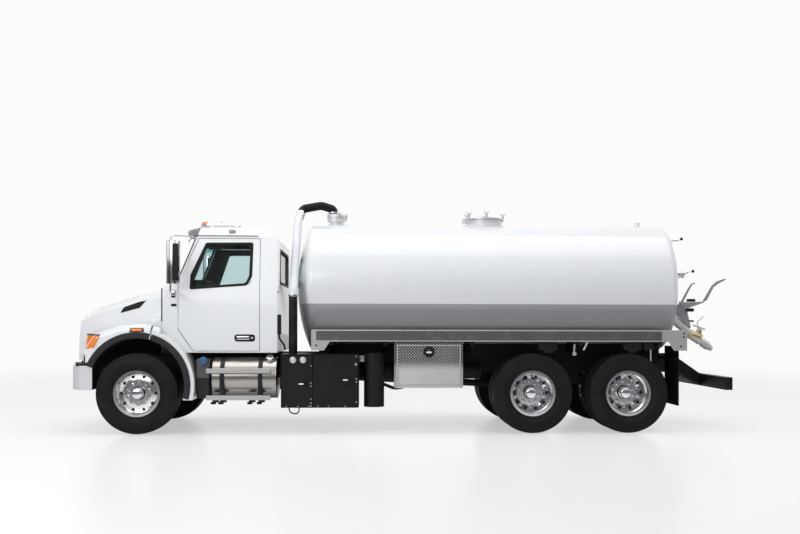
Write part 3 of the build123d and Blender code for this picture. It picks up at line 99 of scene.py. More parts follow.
class Axis(Enum):
    """Axis of the truck's frame that a turned or sawn shape follows."""

    X = (1.0, 0.0, 0.0)
    Y = (0.0, 1.0, 0.0)
    Z = (0.0, 0.0, 1.0)

    @property
    def vector(self) -> Vector:
        """The axis as a vector."""
        return Vector(self.value)


# ---- shader expressions
def _operator(operation: str) -> Callable[["Signal", "Signal | float"], "Signal"]:
    """Method that adds one Math node of two values.

    Args:
        operation: Name of the Math node's operation.

    Returns:
        The method.
    """
    return lambda signal, other: signal.maths(operation, other)


class Signal:
    """A shader socket that takes part in Python arithmetic."""

    def __init__(self, recipe: "Recipe", socket: bpy.types.NodeSocket) -> None:
        """Wraps one output socket of a recipe's tree."""
        self.recipe = recipe
        self.socket = socket

    def out(self, name: str) -> "Signal":
        """Another output of the same node."""
        return Signal(self.recipe, self.socket.node.outputs[name])

    def maths(self, operation: str, *values: "Signal | float") -> "Signal":
        """One Math node on this signal.

        Args:
            operation: Name of the Math node's operation.
            values: The values that follow this one.

        Returns:
            The node's result.
        """
        return self.recipe.node("ShaderNodeMath", {"operation": operation}, self, *values)

    __add__ = __radd__ = _operator("ADD")
    __mul__ = __rmul__ = _operator("MULTIPLY")
    __sub__ = _operator("SUBTRACT")
    __truediv__ = _operator("DIVIDE")
    __gt__ = _operator("GREATER_THAN")
    __lt__ = _operator("LESS_THAN")
    least = _operator("MINIMUM")
    most = _operator("MAXIMUM")

    def __rsub__(self, other: float) -> "Signal":
        """Difference from a number."""
        return self.recipe.node("ShaderNodeMath", {"operation": "SUBTRACT"}, other, self)

    def __abs__(self) -> "Signal":
        """Size without sign."""
        return self.maths("ABSOLUTE")

    def between(self, low: float, high: float, start: float = 0.0, end: float = 1.0) -> "Signal":
        """Smooth ramp of this signal.

        Args:
            low: Value at which the ramp starts.
            high: Value at which it ends.
            start: Result at low.
            end: Result at high.

        Returns:
            The ramped signal.
        """
        return self.recipe.node(
            "ShaderNodeMapRange", {"interpolation_type": "SMOOTHSTEP"}, self, low, high, start, end
        )


class Recipe:
    """Node tree of one material, written as expressions."""

    def __init__(self, name: str) -> None:
        """Starts an empty material of that name."""
        self.material = bpy.data.materials.new(name)
        self.material.use_nodes = True
        self.tree = self.material.node_tree
        self.tree.nodes.clear()
        self._places: dict[str, Signal] = {}

    @classmethod
    def over(cls, tree: bpy.types.NodeTree) -> "Recipe":
        """A recipe on an empty tree that exists already, such as a world's."""
        recipe = cls.__new__(cls)
        recipe.material, recipe.tree, recipe._places = None, tree, {}
        tree.nodes.clear()
        return recipe

    def node(self, kind: str, settings: dict[str, Any] | None = None, *values: Any, **named: Any) -> Signal:
        """Adds a node.

        Args:
            kind: Type of the node.
            settings: Properties set before its sockets.
            values: Links or numbers of the first sockets.
            named: Links or numbers by socket name, with _ for a space.

        Returns:
            Its first enabled output.
        """
        node = self.tree.nodes.new(kind)
        for key, value in (settings or {}).items():
            setattr(node, key, value)
        enabled = [socket for socket in node.inputs if socket.enabled]
        pairs = list(zip(enabled, values))
        by_name = {socket.name: socket for socket in reversed(enabled)}
        pairs += [(by_name[key.replace("_", " ")], value) for key, value in named.items()]
        for socket, value in pairs:
            self._feed(socket, value)
        return Signal(self, next(socket for socket in node.outputs if socket.enabled))

    def _feed(self, socket: bpy.types.NodeSocket, value: Any) -> None:
        """Links or sets one input."""
        if isinstance(value, Signal):
            self.tree.links.new(value.socket, socket)
        elif isinstance(value, tuple) and socket.type == "RGBA":
            socket.default_value = (*value, 1.0)
        else:
            socket.default_value = value

    def place(self) -> Signal:
        """Object coordinates."""
        if "place" not in self._places:
            self._places["place"] = self.node("ShaderNodeTexCoord").out("Object")
        return self._places["place"]

    def along(self, axis: str) -> Signal:
        """One object coordinate, named X, Y or Z."""
        if axis not in self._places:
            split = self.node("ShaderNodeSeparateXYZ", None, self.place())
            self._places.update({name: split.out(name) for name in "XYZ"})
        return self._places[axis]

    def noise(self, scale: float, detail: float = 3.0, stretch: Point = (1.0, 1.0, 1.0)) -> Signal:
        """Noise on object coordinates.

        Args:
            scale: Cells to the metre.
            detail: Octaves.
            stretch: Scale along each axis.

        Returns:
            The noise from 0 to 1.
        """
        where = self.place()
        if stretch != (1.0, 1.0, 1.0):
            where = self.node("ShaderNodeMapping", None, Vector=where, Scale=stretch)
        return self.node("ShaderNodeTexNoise", None, Vector=where, Scale=scale, Detail=detail)

    def mix(self, factor: Signal | float, first: Any, second: Any) -> Signal:
        """Blends two colours."""
        return self.node("ShaderNodeMix", {"data_type": "RGBA"}, factor, first, second)

    def bump(self, height: Signal, distance: float, strength: float = 1.0) -> Signal:
        """Surface relief.

        Args:
            height: Height from 0 to 1.
            distance: Depth of the relief in metres.
            strength: Share of it that shows.

        Returns:
            A normal.
        """
        return self.node("ShaderNodeBump", None, Strength=strength, Distance=distance, Height=height)

    def surface(self, **sockets: Any) -> Material:
        """Closes the material with a Principled shader.

        Args:
            sockets: Socket values by name, with _ for a space.

        Returns:
            The finished material.
        """
        shader = self.node("ShaderNodeBsdfPrincipled", None, **sockets)
        output = self.tree.nodes.new("ShaderNodeOutputMaterial")
        self.tree.links.new(shader.socket, output.inputs["Surface"])
        return self.material


# ---- finishes
@dataclass(frozen=True)
class Paint:
    """A finish, known by its material's name."""

    name: str

    def make(self) -> Material:
        """The finish's material."""
        return self.shaded(Recipe(self.name))

    def shaded(self, recipe: Recipe) -> Material:
        """Writes the finish into an empty recipe and closes it.

        Args:
            recipe: The recipe to fill.

        Returns:
            The finished material.
        """
        raise NotImplementedError


@dataclass(frozen=True)
class Lacquer(Paint):
    """Gloss paint with a faint ripple, a little road film low down and a worn tint."""

    colour: Colour
    roughness: float = 0.24
    coat: float = 0.6
    film: float = 0.05
    film_top: float = 1.3
    ripple: float = 0.0003

    def shaded(self, recipe: Recipe) -> Material:
        """The material."""
        cloud = recipe.noise(2.3, 4.0)
        low = recipe.along("Z").between(0.3, self.film_top, 1.0, 0.0)
        dusty = tuple(0.86 * part + 0.035 for part in self.colour)
        shade = recipe.mix(cloud * low * (self.film * 6), self.colour, dusty)
        rough = cloud * 0.06 + low * 0.08 + (self.roughness - 0.03)
        return recipe.surface(
            Base_Color=shade, Roughness=rough, Coat_Weight=self.coat, Coat_Roughness=0.04,
            Normal=recipe.bump(recipe.noise(26.0, 2.0), self.ripple),
        )


@dataclass(frozen=True)
class Vessel(Paint):
    """White vessel enamel with a grey lower band and faint rolling marks and welds."""

    white: Colour
    grey: Colour
    band: float
    seams: tuple[float, ...]

    def shaded(self, recipe: Recipe) -> Material:
        """The material."""
        height, run = recipe.along("Z"), recipe.along("X")
        lower = height.between(self.band - 0.0015, self.band + 0.0015, 1.0, 0.0)
        cloud = recipe.noise(1.4, 4.0)
        streak = recipe.noise(1.0, 3.0, (9.0, 9.0, 0.7))
        shade = recipe.mix(lower, self.white, self.grey)
        shade = recipe.mix(streak * cloud * 0.10, shade, tuple(0.8 * part for part in self.grey))
        rough = cloud * 0.08 + lower * 0.05 + 0.16
        relief = recipe.noise(1.1, 2.0, (1.0, 2.0, 2.0)) * 0.5
        for seam in self.seams:
            relief = relief + abs(run - seam).between(0.0, 0.009, 0.35, 0.0)
        return recipe.surface(
            Base_Color=shade, Roughness=rough, Coat_Weight=0.5, Coat_Roughness=0.06,
            Normal=recipe.bump(relief, 0.006, 0.5),
        )


@dataclass(frozen=True)
class Metal(Paint):
    """Bare or polished metal with a brushed grain and handling marks."""

    colour: Colour
    roughness: float = 0.25
    grain: Point = (2.0, 2.0, 60.0)
    depth: float = 0.0002
    tarnish: Colour = (0.30, 0.28, 0.26)
    stain: float = 0.25
    metallic: float = 1.0

    def shaded(self, recipe: Recipe) -> Material:
        """The material."""
        lines = recipe.noise(18.0, 3.0, self.grain)
        cloud = recipe.noise(5.0, 5.0)
        shade = recipe.mix(cloud.between(0.5, 0.8) * self.stain, self.colour, self.tarnish)
        rough = lines * 0.12 + cloud * 0.12 + (self.roughness - 0.12)
        return recipe.surface(
            Base_Color=shade, Roughness=rough.most(0.05), Metallic=self.metallic,
            Normal=recipe.bump(lines, self.depth, 0.6),
        )


@dataclass(frozen=True)
class TreadPlate(Paint):
    """Bright plate with raised lozenges that lie crosswise in turn, with painted shade in the hollows between
    them and the pattern faded low down as a painted reflection.
    """

    pitch: float = 0.040
    colour: Colour = (0.86, 0.86, 0.85)
    # painted shade: near-black colour of the flat plate between the lozenges
    hollow_shade: Colour = (0.10, 0.10, 0.105)
    metallic: float = 0.55
    # painted reflection: below these heights the pattern's contrast and relief fade
    reflection_fade_low: float = 0.0
    reflection_fade_high: float = 0.01

    def shaded(self, recipe: Recipe) -> Material:
        """The material."""
        first = (recipe.along("X") + recipe.along("Z") + recipe.along("Y")) / self.pitch
        second = (recipe.along("X") - recipe.along("Z") - recipe.along("Y")) / self.pitch
        cell = (first.maths("FLOOR") + second.maths("FLOOR")) * 0.5
        stand = cell.maths("FRACT") > 0.25
        left = first.maths("FRACT") - 0.5
        up = second.maths("FRACT") - 0.5
        long = abs(left) * stand + abs(up) * (1.0 - stand)
        wide = abs(up) * stand + abs(left) * (1.0 - stand)
        lozenge = (long * 1.5 + wide * 3.4).between(0.45, 0.85, 1.0, 0.0)
        # painted reflection: low down the pattern's colour contrast fades, and its relief fades with it
        sharp = recipe.along("Z").between(self.reflection_fade_low, self.reflection_fade_high, 0.12, 1.0)
        cloud = recipe.noise(6.0, 4.0)
        # painted shade: the flat plate between the lozenges takes the near-black colour
        shade = recipe.mix((1.0 - lozenge) * sharp, self.colour, self.hollow_shade)
        shade = recipe.mix(cloud.between(0.45, 0.8) * 0.2, shade, (0.36, 0.35, 0.34))
        return recipe.surface(
            Base_Color=shade, Roughness=cloud * 0.15 + 0.24, Metallic=self.metallic,
            Normal=recipe.bump(lozenge * sharp, 0.0016, 0.9),
        )


@dataclass(frozen=True)
class Rubber(Paint):
    """Tyre, flap and hose rubber with a fine grain and grey dust in the hollows."""

    colour: Colour = (0.0085, 0.0085, 0.009)
    roughness: float = 0.6
    grain: float = 220.0
    dust: float = 0.15
    specular: float = 0.18

    def shaded(self, recipe: Recipe) -> Material:
        """The material."""
        cloud = recipe.noise(7.0, 5.0)
        shade = recipe.mix(cloud.between(0.4, 0.8) * self.dust, self.colour, (0.045, 0.043, 0.040))
        rough = cloud * 0.2 + (self.roughness - 0.08)
        return recipe.surface(
            Base_Color=shade, Roughness=rough, Specular_IOR_Level=self.specular,
            Normal=recipe.bump(recipe.noise(self.grain, 2.0), 0.0004, 0.5),
        )


@dataclass(frozen=True)
class Coating(Paint):
    """Satin powder coat or moulded plastic with an orange-peel surface."""

    colour: Colour
    roughness: float = 0.42
    peel: float = 140.0
    depth: float = 0.0003
    dust: float = 0.06
    specular: float = 0.22

    def shaded(self, recipe: Recipe) -> Material:
        """The material."""
        cloud = recipe.noise(3.5, 4.0)
        low = recipe.along("Z").between(0.3, 1.5, 1.0, 0.2)
        dusty = tuple(0.8 * part + 0.05 for part in self.colour)
        shade = recipe.mix(cloud.between(0.35, 0.8) * low * self.dust, self.colour, dusty)
        rough = cloud * 0.14 + (self.roughness - 0.06)
        return recipe.surface(
            Base_Color=shade, Roughness=rough, Specular_IOR_Level=self.specular,
            Normal=recipe.bump(recipe.noise(self.peel, 2.0), self.depth, 0.5),
        )


@dataclass(frozen=True)
class Pane(Paint):
    """Tinted glass or a coloured lens with a trace of film on it."""

    colour: Colour
    clear: float = 0.6
    roughness: float = 0.03
    glow: float = 0.0

    def shaded(self, recipe: Recipe) -> Material:
        """The material."""
        cloud = recipe.noise(4.0, 3.0)
        return recipe.surface(
            Base_Color=recipe.mix(cloud * 0.15, self.colour, tuple(0.5 * part for part in self.colour)),
            Roughness=cloud * 0.04 + self.roughness, Alpha=cloud * 0.05 + (1.0 - self.clear), Coat_Weight=1.0,
            Coat_Roughness=0.02, Emission_Color=self.colour, Emission_Strength=self.glow,
        )


@dataclass(frozen=True)
class CabPaint(Paint):
    """White lacquer outside, dark trim on every face that lies inside the cab's wall."""

    colour: Colour = (0.80, 0.81, 0.82)
    trim: Colour = (0.016, 0.017, 0.019)
    inset: float = 0.028
    half: float = 1.05
    belt: float = 1.93
    lean: float = 0.132
    rear: float = -1.814
    front: float = -3.340

    def shaded(self, recipe: Recipe) -> Material:
        """The material."""
        run, across, height = recipe.along("X"), abs(recipe.along("Y")), recipe.along("Z")
        side = self.half - self.inset - (height - self.belt).most(0.0) * self.lean
        roof = (2.803 - (across - 0.555).most(0.0) * 0.172).least(2.742 - (across - 0.84) * 1.04)
        wall = (self.rear - self.inset - run).between(0.0, 0.002, -9.0, 0.0)
        back = (2.80 - (run + 2.064) * 0.948).most(2.58) + wall
        bow = (1.0 - across * across * 1.108) * 0.14
        screen = (height - 2.059) * 0.431 - 3.142 - bow + 0.030
        screen = screen.least(-1.0) * (height > 1.99) + (self.front + self.inset) * (height < 1.99)
        inside = (across < side) * (height < roof.least(back)) * (run > screen) * (height > 1.108)
        cloud = recipe.noise(2.3, 4.0)
        return recipe.surface(
            Base_Color=recipe.mix(inside, self.colour, self.trim),
            Roughness=cloud * 0.06 + 0.22 + inside * 0.35, Coat_Weight=0.6 - inside * 0.6,
            Coat_Roughness=0.04, Specular_IOR_Level=0.45, Normal=recipe.bump(recipe.noise(26.0, 2.0), 0.0003),
        )


@dataclass(frozen=True)
class Banded(Paint):
    """Enamel that changes colour at a height, or between two heights, with a sharp edge."""

    lower: Colour
    upper: Colour
    edge: float
    roughness: float = 0.40
    metallic: float = 0.0
    slits: tuple[float, ...] = ()
    half_slit: float = 0.03

    def shaded(self, recipe: Recipe) -> Material:
        """The material."""
        height = recipe.along("Z")
        above = height > self.edge
        if self.slits:
            rows = [abs(height - slit) < self.half_slit for slit in self.slits]
            above = sum(rows[1:], rows[0])
        cloud = recipe.noise(6.0, 4.0)
        shade = recipe.mix(above, self.lower, self.upper)
        return recipe.surface(
            Base_Color=recipe.mix(cloud.between(0.4, 0.8) * 0.08, shade, (0.2, 0.2, 0.2)),
            Roughness=cloud * 0.12 + (self.roughness - 0.06), Metallic=above * self.metallic,
            Specular_IOR_Level=0.3, Normal=recipe.bump(recipe.noise(180.0, 2.0), 0.0003, 0.4),
        )


@dataclass(frozen=True)
class BumperPaint(Paint):
    """Silver lacquer on the bumper's face, black on the horns behind it."""

    colour: Colour = (0.66, 0.67, 0.69)
    black: Colour = (0.010, 0.010, 0.011)
    half: float = 0.62
    back: float = -4.655

    def shaded(self, recipe: Recipe) -> Material:
        """The material."""
        behind = (abs(recipe.along("Y")) < self.half) * (recipe.along("X") > self.back)
        cloud = recipe.noise(3.0, 4.0)
        return recipe.surface(
            Base_Color=recipe.mix(behind, self.colour, self.black), Roughness=cloud * 0.08 + 0.24,
            Coat_Weight=0.5 - behind * 0.5, Coat_Roughness=0.05,
            Normal=recipe.bump(recipe.noise(26.0, 2.0), 0.0003),
        )


@dataclass(frozen=True)
class Glazing(Paint):
    """Green-tinted window glass with a deeper band along its top."""

    tint: Colour = (0.70, 0.81, 0.81)
    band: Colour = (0.10, 0.42, 0.44)
    band_low: float = 2.50
    band_high: float = 2.60

    def shaded(self, recipe: Recipe) -> Material:
        """The material."""
        film = recipe.noise(5.0, 3.0)
        upper = recipe.along("Z").between(self.band_low, self.band_high)
        shade = recipe.mix(upper, recipe.mix(film * 0.08, self.tint, (0.55, 0.66, 0.66)), self.band)
        return recipe.surface(Base_Color=shade, Roughness=film * 0.01, Transmission_Weight=1.0, IOR=1.12)


@dataclass(frozen=True)
class HeadLens(Paint):
    """Head lamp lens: clear and fluted in front, amber behind a slanting line."""

    amber: Colour = (0.78, 0.23, 0.05)
    clear: Colour = (0.72, 0.73, 0.75)
    edge: float = -4.320
    slant: float = 0.277
    foot: float = 1.150
    flute: float = 0.012

    def shaded(self, recipe: Recipe) -> Material:
        """The material."""
        behind = (recipe.along("X") - (recipe.along("Z") - self.foot) * self.slant) > self.edge
        flutes = abs((recipe.along("Y") / self.flute).maths("FRACT") - 0.5) * 2.0
        shade = recipe.mix(behind, recipe.mix(flutes * 0.5, self.clear, (0.30, 0.31, 0.33)), self.amber)
        return recipe.surface(
            Base_Color=shade, Roughness=flutes * 0.08 + 0.08, Metallic=0.75 - behind * 0.75, Coat_Weight=1.0,
            Coat_Roughness=0.02, Normal=recipe.bump(flutes, 0.0012, 0.6),
        )


@dataclass(frozen=True)
class MirrorShell(Paint):
    """Mirror case, chromed in front of a seam with painted reflection bands across the chrome, and moulded
    black behind it.
    """

    seam: float = -3.142
    front: float = -3.217
    top: float = 2.512
    foot: float = 2.028

    def shaded(self, recipe: Recipe) -> Material:
        """The material."""
        run = recipe.along("X")
        height = recipe.along("Z")
        bright = (run < self.seam).most(height > self.top).most(height < self.foot)
        bright = bright * (run > self.front)
        cloud = recipe.noise(9.0, 3.0)
        # painted reflection: dark and bright bands along X in the chrome's base colour
        reflection_bands = ((run + 3.217) * 84.0).maths("COSINE").between(-1.0, 1.0)
        chrome = recipe.mix(reflection_bands, (0.20, 0.205, 0.21), (0.80, 0.81, 0.82))
        return recipe.surface(
            Base_Color=recipe.mix(bright, (0.010, 0.010, 0.011), chrome), Metallic=bright,
            Roughness=cloud * 0.08 + 0.42 - bright * 0.28, Specular_IOR_Level=0.25,
            Normal=recipe.bump(cloud, 0.0002, 0.3),
        )


@dataclass(frozen=True)
class Fabric(Paint):
    """Woven seat cloth and moulded trim."""

    colour: Colour
    weave: float = 420.0

    def shaded(self, recipe: Recipe) -> Material:
        """The material."""
        warp = (recipe.along("Y") * self.weave * 3.0).maths("SINE")
        weft = ((recipe.along("X") + recipe.along("Z")) * self.weave * 3.0).maths("SINE")
        thread = warp * weft * 0.5 + 0.5
        shade = recipe.mix(thread * 0.4, self.colour, tuple(1.9 * part for part in self.colour))
        relief = recipe.bump(thread, 0.0004)
        return recipe.surface(Base_Color=shade, Roughness=0.85, Sheen_Weight=0.3, Normal=relief)


class Finish(Enum):
    """Every finish on the truck."""

    BODY = Lacquer("white_body_lacquer", (0.80, 0.81, 0.82))
    TRIM_WHITE = Lacquer("white_fitting_enamel", (0.76, 0.77, 0.78), roughness=0.32, coat=0.3)
    CAB = CabPaint("white_cab_lacquer")
    BUMPER = BumperPaint("silver_bumper_lacquer")
    ADDITIVE = Banded("additive_tank_plastic", (0.012, 0.012, 0.013), (0.085, 0.088, 0.095), 0.745)
    RISER = Banded("riser_enamel", (0.009, 0.009, 0.0095), (0.78, 0.79, 0.80), 1.845, roughness=0.30)
    # its fourth value is painted shade, the near-black colour between the lozenges
    TRAY_INSERT = TreadPlate(
        "tray_tread_plate", 0.034, (0.56, 0.56, 0.565), (0.045, 0.045, 0.05), 0.5
    )
    STEP_IRON = Banded(
        "step_aluminium", (0.010, 0.010, 0.011), (0.62, 0.61, 0.59), 0.0, metallic=0.85, slits=(0.487, 0.843),
        half_slit=0.032,
    )
    GREY = Lacquer("grey_enamel", (0.33, 0.34, 0.355), roughness=0.34, coat=0.25)
    VESSEL = Vessel("vessel_enamel", (0.80, 0.81, 0.82), (0.335, 0.34, 0.35), 1.745,
                    (-0.75, 0.90, 2.55, 4.20))
    BLACK = Coating("black_powder_coat", (0.010, 0.010, 0.0105))
    FRAME = Coating("frame_black", (0.009, 0.009, 0.0095), roughness=0.5)
    IRON = Coating("cast_iron_black", (0.016, 0.0155, 0.015), roughness=0.6, peel=60.0, depth=0.001)
    PLASTIC = Coating("moulded_plastic", (0.010, 0.0105, 0.011), roughness=0.55, peel=300.0)
    LINER = Coating("arch_liner", (0.006, 0.006, 0.006), roughness=0.7)
    LIP = Coating("grey_arch_lip", (0.024, 0.025, 0.027), roughness=0.55, peel=260.0)
    CABIN = Coating("cabin_trim", (0.020, 0.021, 0.023), roughness=0.6, peel=260.0)
    SEAT = Fabric("seat_cloth", (0.040, 0.042, 0.048))
    POLISHED = Metal("polished_aluminium", (0.86, 0.86, 0.87), roughness=0.13, grain=(1.0, 1.0, 1.0),
                     stain=0.15)
    CHROME = Metal("chrome", (0.83, 0.84, 0.85), roughness=0.13, grain=(1.0, 1.0, 1.0), depth=0.00005,
                   stain=0.05)
    BRUSHED = Metal("brushed_aluminium", (0.42, 0.395, 0.37), roughness=0.24, grain=(60.0, 2.0, 2.0))
    ALUMINIUM = Metal("sheet_aluminium", (0.56, 0.56, 0.565), roughness=0.34, grain=(1.0, 8.0, 30.0),
                      metallic=0.5)
    CASTING = Metal("cast_aluminium", (0.72, 0.72, 0.72), roughness=0.40, grain=(3.0, 3.0, 3.0), depth=0.0008,
                    metallic=0.55)
    ZINC = Metal("zinc_plate", (0.52, 0.53, 0.54), roughness=0.36, grain=(3.0, 3.0, 3.0), metallic=0.6)
    BRASS = Metal("brass", (0.52, 0.36, 0.15), roughness=0.32, grain=(3.0, 3.0, 3.0),
                  tarnish=(0.22, 0.13, 0.06), metallic=0.8)
    # painted reflection fades the pattern below 0.98 m, and the hollows carry painted shade
    TREADPLATE = TreadPlate("tread_plate", reflection_fade_low=0.84, reflection_fade_high=0.98)
    TYRE = Rubber("tyre_rubber")
    HOSE = Rubber("hose_rubber", roughness=0.5, dust=0.08)
    FLAP = Rubber("flap_rubber", (0.0045, 0.0045, 0.005), roughness=0.6, dust=0.1, specular=0.1)
    GLASS = Glazing("tinted_glass")
    HEAD_LENS = HeadLens("head_lamp_lens")
    MIRROR_SHELL = MirrorShell("mirror_case")
    MIRROR = Metal("mirror_glass", (0.75, 0.78, 0.80), roughness=0.13, grain=(1.0, 1.0, 1.0), depth=0.0,
                   stain=0.0)
    AMBER = Pane("amber_lens", (0.80, 0.22, 0.02), clear=0.10, roughness=0.12, glow=0.15)
    RED = Pane("red_lens", (0.55, 0.02, 0.015), clear=0.05, roughness=0.12, glow=0.05)
    BLUE_CAP = Coating("blue_cap", (0.045, 0.12, 0.24), roughness=0.3)

    def material(self) -> Material:
        """The material of this finish, made once."""
        found = bpy.data.materials.get(self.value.name)
        return found if found else self.value.make()


# ---- mesh tools
def turning(way: Vector, at: Point | Vector) -> Matrix:
    """Frame whose Z lies along a direction.

    Args:
        way: The direction that local Z follows.
        at: Where the local origin stands.

    Returns:
        The frame's matrix.
    """
    return Matrix.Translation(at) @ way.to_track_quat("Z", "Y").to_matrix().to_4x4()


def oblong(left: float, right: float, low: float, high: float) -> list[Flat]:
    """Corners of an upright rectangle, from the lower left one."""
    return [(left, low), (right, low), (right, high), (left, high)]


def grown(points: Sequence[Flat], amount: float) -> list[Flat]:
    """Outline moved outwards by an amount, or inwards by a negative one.

    Args:
        points: Corners of the outline in order.
        amount: How far each side moves out.

    Returns:
        The moved corners.
    """
    corners = [Vector(point) for point in points]
    area = sum(a.x * b.y - a.y * b.x for a, b in zip(corners, corners[1:] + corners[:1]))
    turn = 1.0 if area > 0 else -1.0
    moved = []
    for index, corner in enumerate(corners):
        before = (corner - corners[index - 1]).normalized()
        after = (corners[(index + 1) % len(corners)] - corner).normalized()
        first = Vector((before.y, -before.x)) * turn
        second = Vector((after.y, -after.x)) * turn
        moved.append(tuple(corner + (first + second) * (amount / (1.0 + first.dot(second)))))
    return moved


def rounded(points: Sequence[Flat], radius: float | Sequence[float], steps: int = 6) -> list[Flat]:
    """Outline with every corner rounded.

    Args:
        points: Corners of the outline in order.
        radius: Radius of the corners, or one for each.
        steps: Pieces to a corner.

    Returns:
        Points of the rounded outline.
    """
    corners = [Vector(point) for point in points]
    radii = [radius] * len(corners) if isinstance(radius, (int, float)) else list(radius)
    outline = []
    for index, (corner, size) in enumerate(zip(corners, radii)):
        back = (corners[index - 1] - corner).normalized()
        ahead = (corners[(index + 1) % len(corners)] - corner).normalized()
        reach = size / math.tan(back.angle(ahead) / 2)
        start, end = corner + back * reach, corner + ahead * reach
        for step in range(steps + 1):
            share = step / steps
            inner = start.lerp(corner, share).lerp(corner.lerp(end, share), share)
            outline.append(tuple(inner))
    return outline


def arc(centre: Flat, radius: float, start: float, end: float, steps: int = 40) -> list[Flat]:
    """Points along an arc, with its angles in degrees."""
    angles = [math.radians(start + (end - start) * step / steps) for step in range(steps + 1)]
    return [(centre[0] + radius * math.cos(angle), centre[1] + radius * math.sin(angle)) for angle in angles]


def upright(points: Sequence[Flat], y: float) -> list[Point]:
    """Points of X and Z stood up at one Y."""
    return [(x, y, z) for x, z in points]


class Blank:
    """A mesh in the making, shaped with bmesh operators."""

    def __init__(self) -> None:
        """Starts an empty mesh."""
        self.bm = bmesh.new()

    def softened(self, vertices: Iterable[bmesh.types.BMVert], width: float, segments: int = 2,
                 angle: float = 0.6) -> None:
        """Bevels the edges among some vertices that are sharper than an angle."""
        chosen = set(vertices)
        edges = [
            e for e in self.bm.edges
            if e.verts[0] in chosen and e.verts[1] in chosen and len(e.link_faces) == 2
            and e.calc_face_angle(0.0) > angle
        ]
        bmesh.ops.bevel(
            self.bm, geom=edges, offset=width, affect="EDGES", segments=segments, profile=0.5, material=-1,
            clamp_overlap=True,
        )

    def box(self, low: Point, high: Point, bevel: float = 0.003, segments: int = 2) -> "Blank":
        """Adds a box with softened edges.

        Args:
            low: Lowest corner.
            high: Highest corner.
            bevel: Width of the softened edge.
            segments: Steps across it.

        Returns:
            This blank.
        """
        size = Vector(high) - Vector(low)
        middle = (Vector(high) + Vector(low)) / 2
        made = bmesh.ops.create_cube(self.bm, size=1.0, matrix=Matrix.LocRotScale(middle, None, size))
        if bevel:
            self.softened(made["verts"], bevel, segments, 0.5)
        return self

    def flank(self, side: int, low: Point, high: Point, bevel: float = 0.003, segments: int = 2) -> "Blank":
        """Adds a box beside the truck.

        Args:
            side: -1 for the driver's side, 1 for the other.
            low: Lowest corner, with Y as the distance out from the middle.
            high: Highest corner, told in the same way.
            bevel: Width of the softened edge.
            segments: Steps across it.

        Returns:
            This blank.
        """
        near, far = sorted((side * low[1], side * high[1]))
        return self.box((low[0], near, low[2]), (high[0], far, high[2]), bevel, segments)

    def rod(self, start: Point | Vector, end: Point | Vector, radius: float, tip: float | None = None,
            sides: int = 24, bevel: float = 0.0) -> "Blank":
        """Adds a round bar or a cone between two points.

        Args:
            start: Middle of the first end.
            end: Middle of the second end.
            radius: Radius at the first end.
            tip: Radius at the second end, the same when left out.
            sides: Facets round it.
            bevel: Width of the softened rims.

        Returns:
            This blank.
        """
        run = Vector(end) - Vector(start)
        frame = turning(run, (Vector(start) + Vector(end)) / 2)
        made = bmesh.ops.create_cone(
            self.bm, cap_ends=True, cap_tris=False, segments=sides, radius1=radius,
            radius2=radius if tip is None else tip, depth=run.length, matrix=frame,
        )
        if bevel:
            self.softened(made["verts"], bevel, 2, 1.0)
        return self

    def ball(self, centre: Point, radius: float) -> "Blank":
        """Adds a ball."""
        matrix = Matrix.Translation(centre)
        bmesh.ops.create_uvsphere(self.bm, u_segments=24, v_segments=14, radius=radius, matrix=matrix)
        return self

    def turned(self, profile: Sequence[Flat], axis: Axis, at: Point, steps: int = 72,
               ring: bool = False) -> "Blank":
        """Spins a profile of radius and height about an axis.

        Args:
            profile: Points of radius and height along the axis.
            axis: The axis that the profile turns about.
            at: A point on the axis, from which heights run.
            steps: Steps round the axis.
            ring: Whether the profile closes on itself.

        Returns:
            This blank.
        """
        bm = self.bm
        points = [bm.verts.new((max(radius, 0.0), 0.0, height)) for radius, height in profile]
        edges = [bm.edges.new(pair) for pair in zip(points, points[1:])]
        if ring:
            edges.append(bm.edges.new((points[-1], points[0])))
        before = set(bm.verts) - set(points)
        bmesh.ops.spin(
            bm, geom=points + edges, cent=(0, 0, 0), axis=(0, 0, 1), angle=FULL_TURN, steps=steps,
            use_merge=True, use_duplicate=False,
        )
        fresh = [v for v in bm.verts if v not in before]
        bmesh.ops.transform(bm, matrix=turning(axis.vector, at), verts=fresh)
        bmesh.ops.remove_doubles(bm, verts=fresh, dist=MERGE)
        fresh = [v for v in bm.verts if v not in before]
        faces = list({f for v in fresh for f in v.link_faces})
        bmesh.ops.recalc_face_normals(bm, faces=faces)
        return self

    def ring(self, inner: float, outer: float, low: float, high: float, axis: Axis, at: Point,
             steps: int = 48) -> "Blank":
        """Adds a square-edged ring.

        Args:
            inner: Inner radius.
            outer: Outer radius.
            low: Height of one face along the axis.
            high: Height of the other face.
            axis: The axis that the ring lies round.
            at: A point on the axis, from which heights run.
            steps: Steps round the axis.

        Returns:
            This blank.
        """
        profile = [(inner, low), (outer, low), (outer, high), (inner, high)]
        return self.turned(profile, axis, at, steps, ring=True)

    def sheet(self, outline: Sequence[Point], run: Point, bevel: float = 0.0, segments: int = 2) -> "Blank":
        """Extrudes a flat outline.

        Args:
            outline: Corners of the outline in order.
            run: How far and where the outline is carried.
            bevel: Width of the softened edges.
            segments: Steps across them.

        Returns:
            This blank.
        """
        bm = self.bm
        face = bm.faces.new([bm.verts.new(point) for point in outline])
        made = bmesh.ops.extrude_face_region(bm, geom=[face])
        moved = [item for item in made["geom"] if isinstance(item, bmesh.types.BMVert)]
        bmesh.ops.translate(bm, verts=moved, vec=run)
        everything = list(face.verts) + moved
        faces = list({f for v in everything for f in v.link_faces})
        bmesh.ops.recalc_face_normals(bm, faces=faces)
        if bevel:
            self.softened(everything, bevel, segments)
        return self

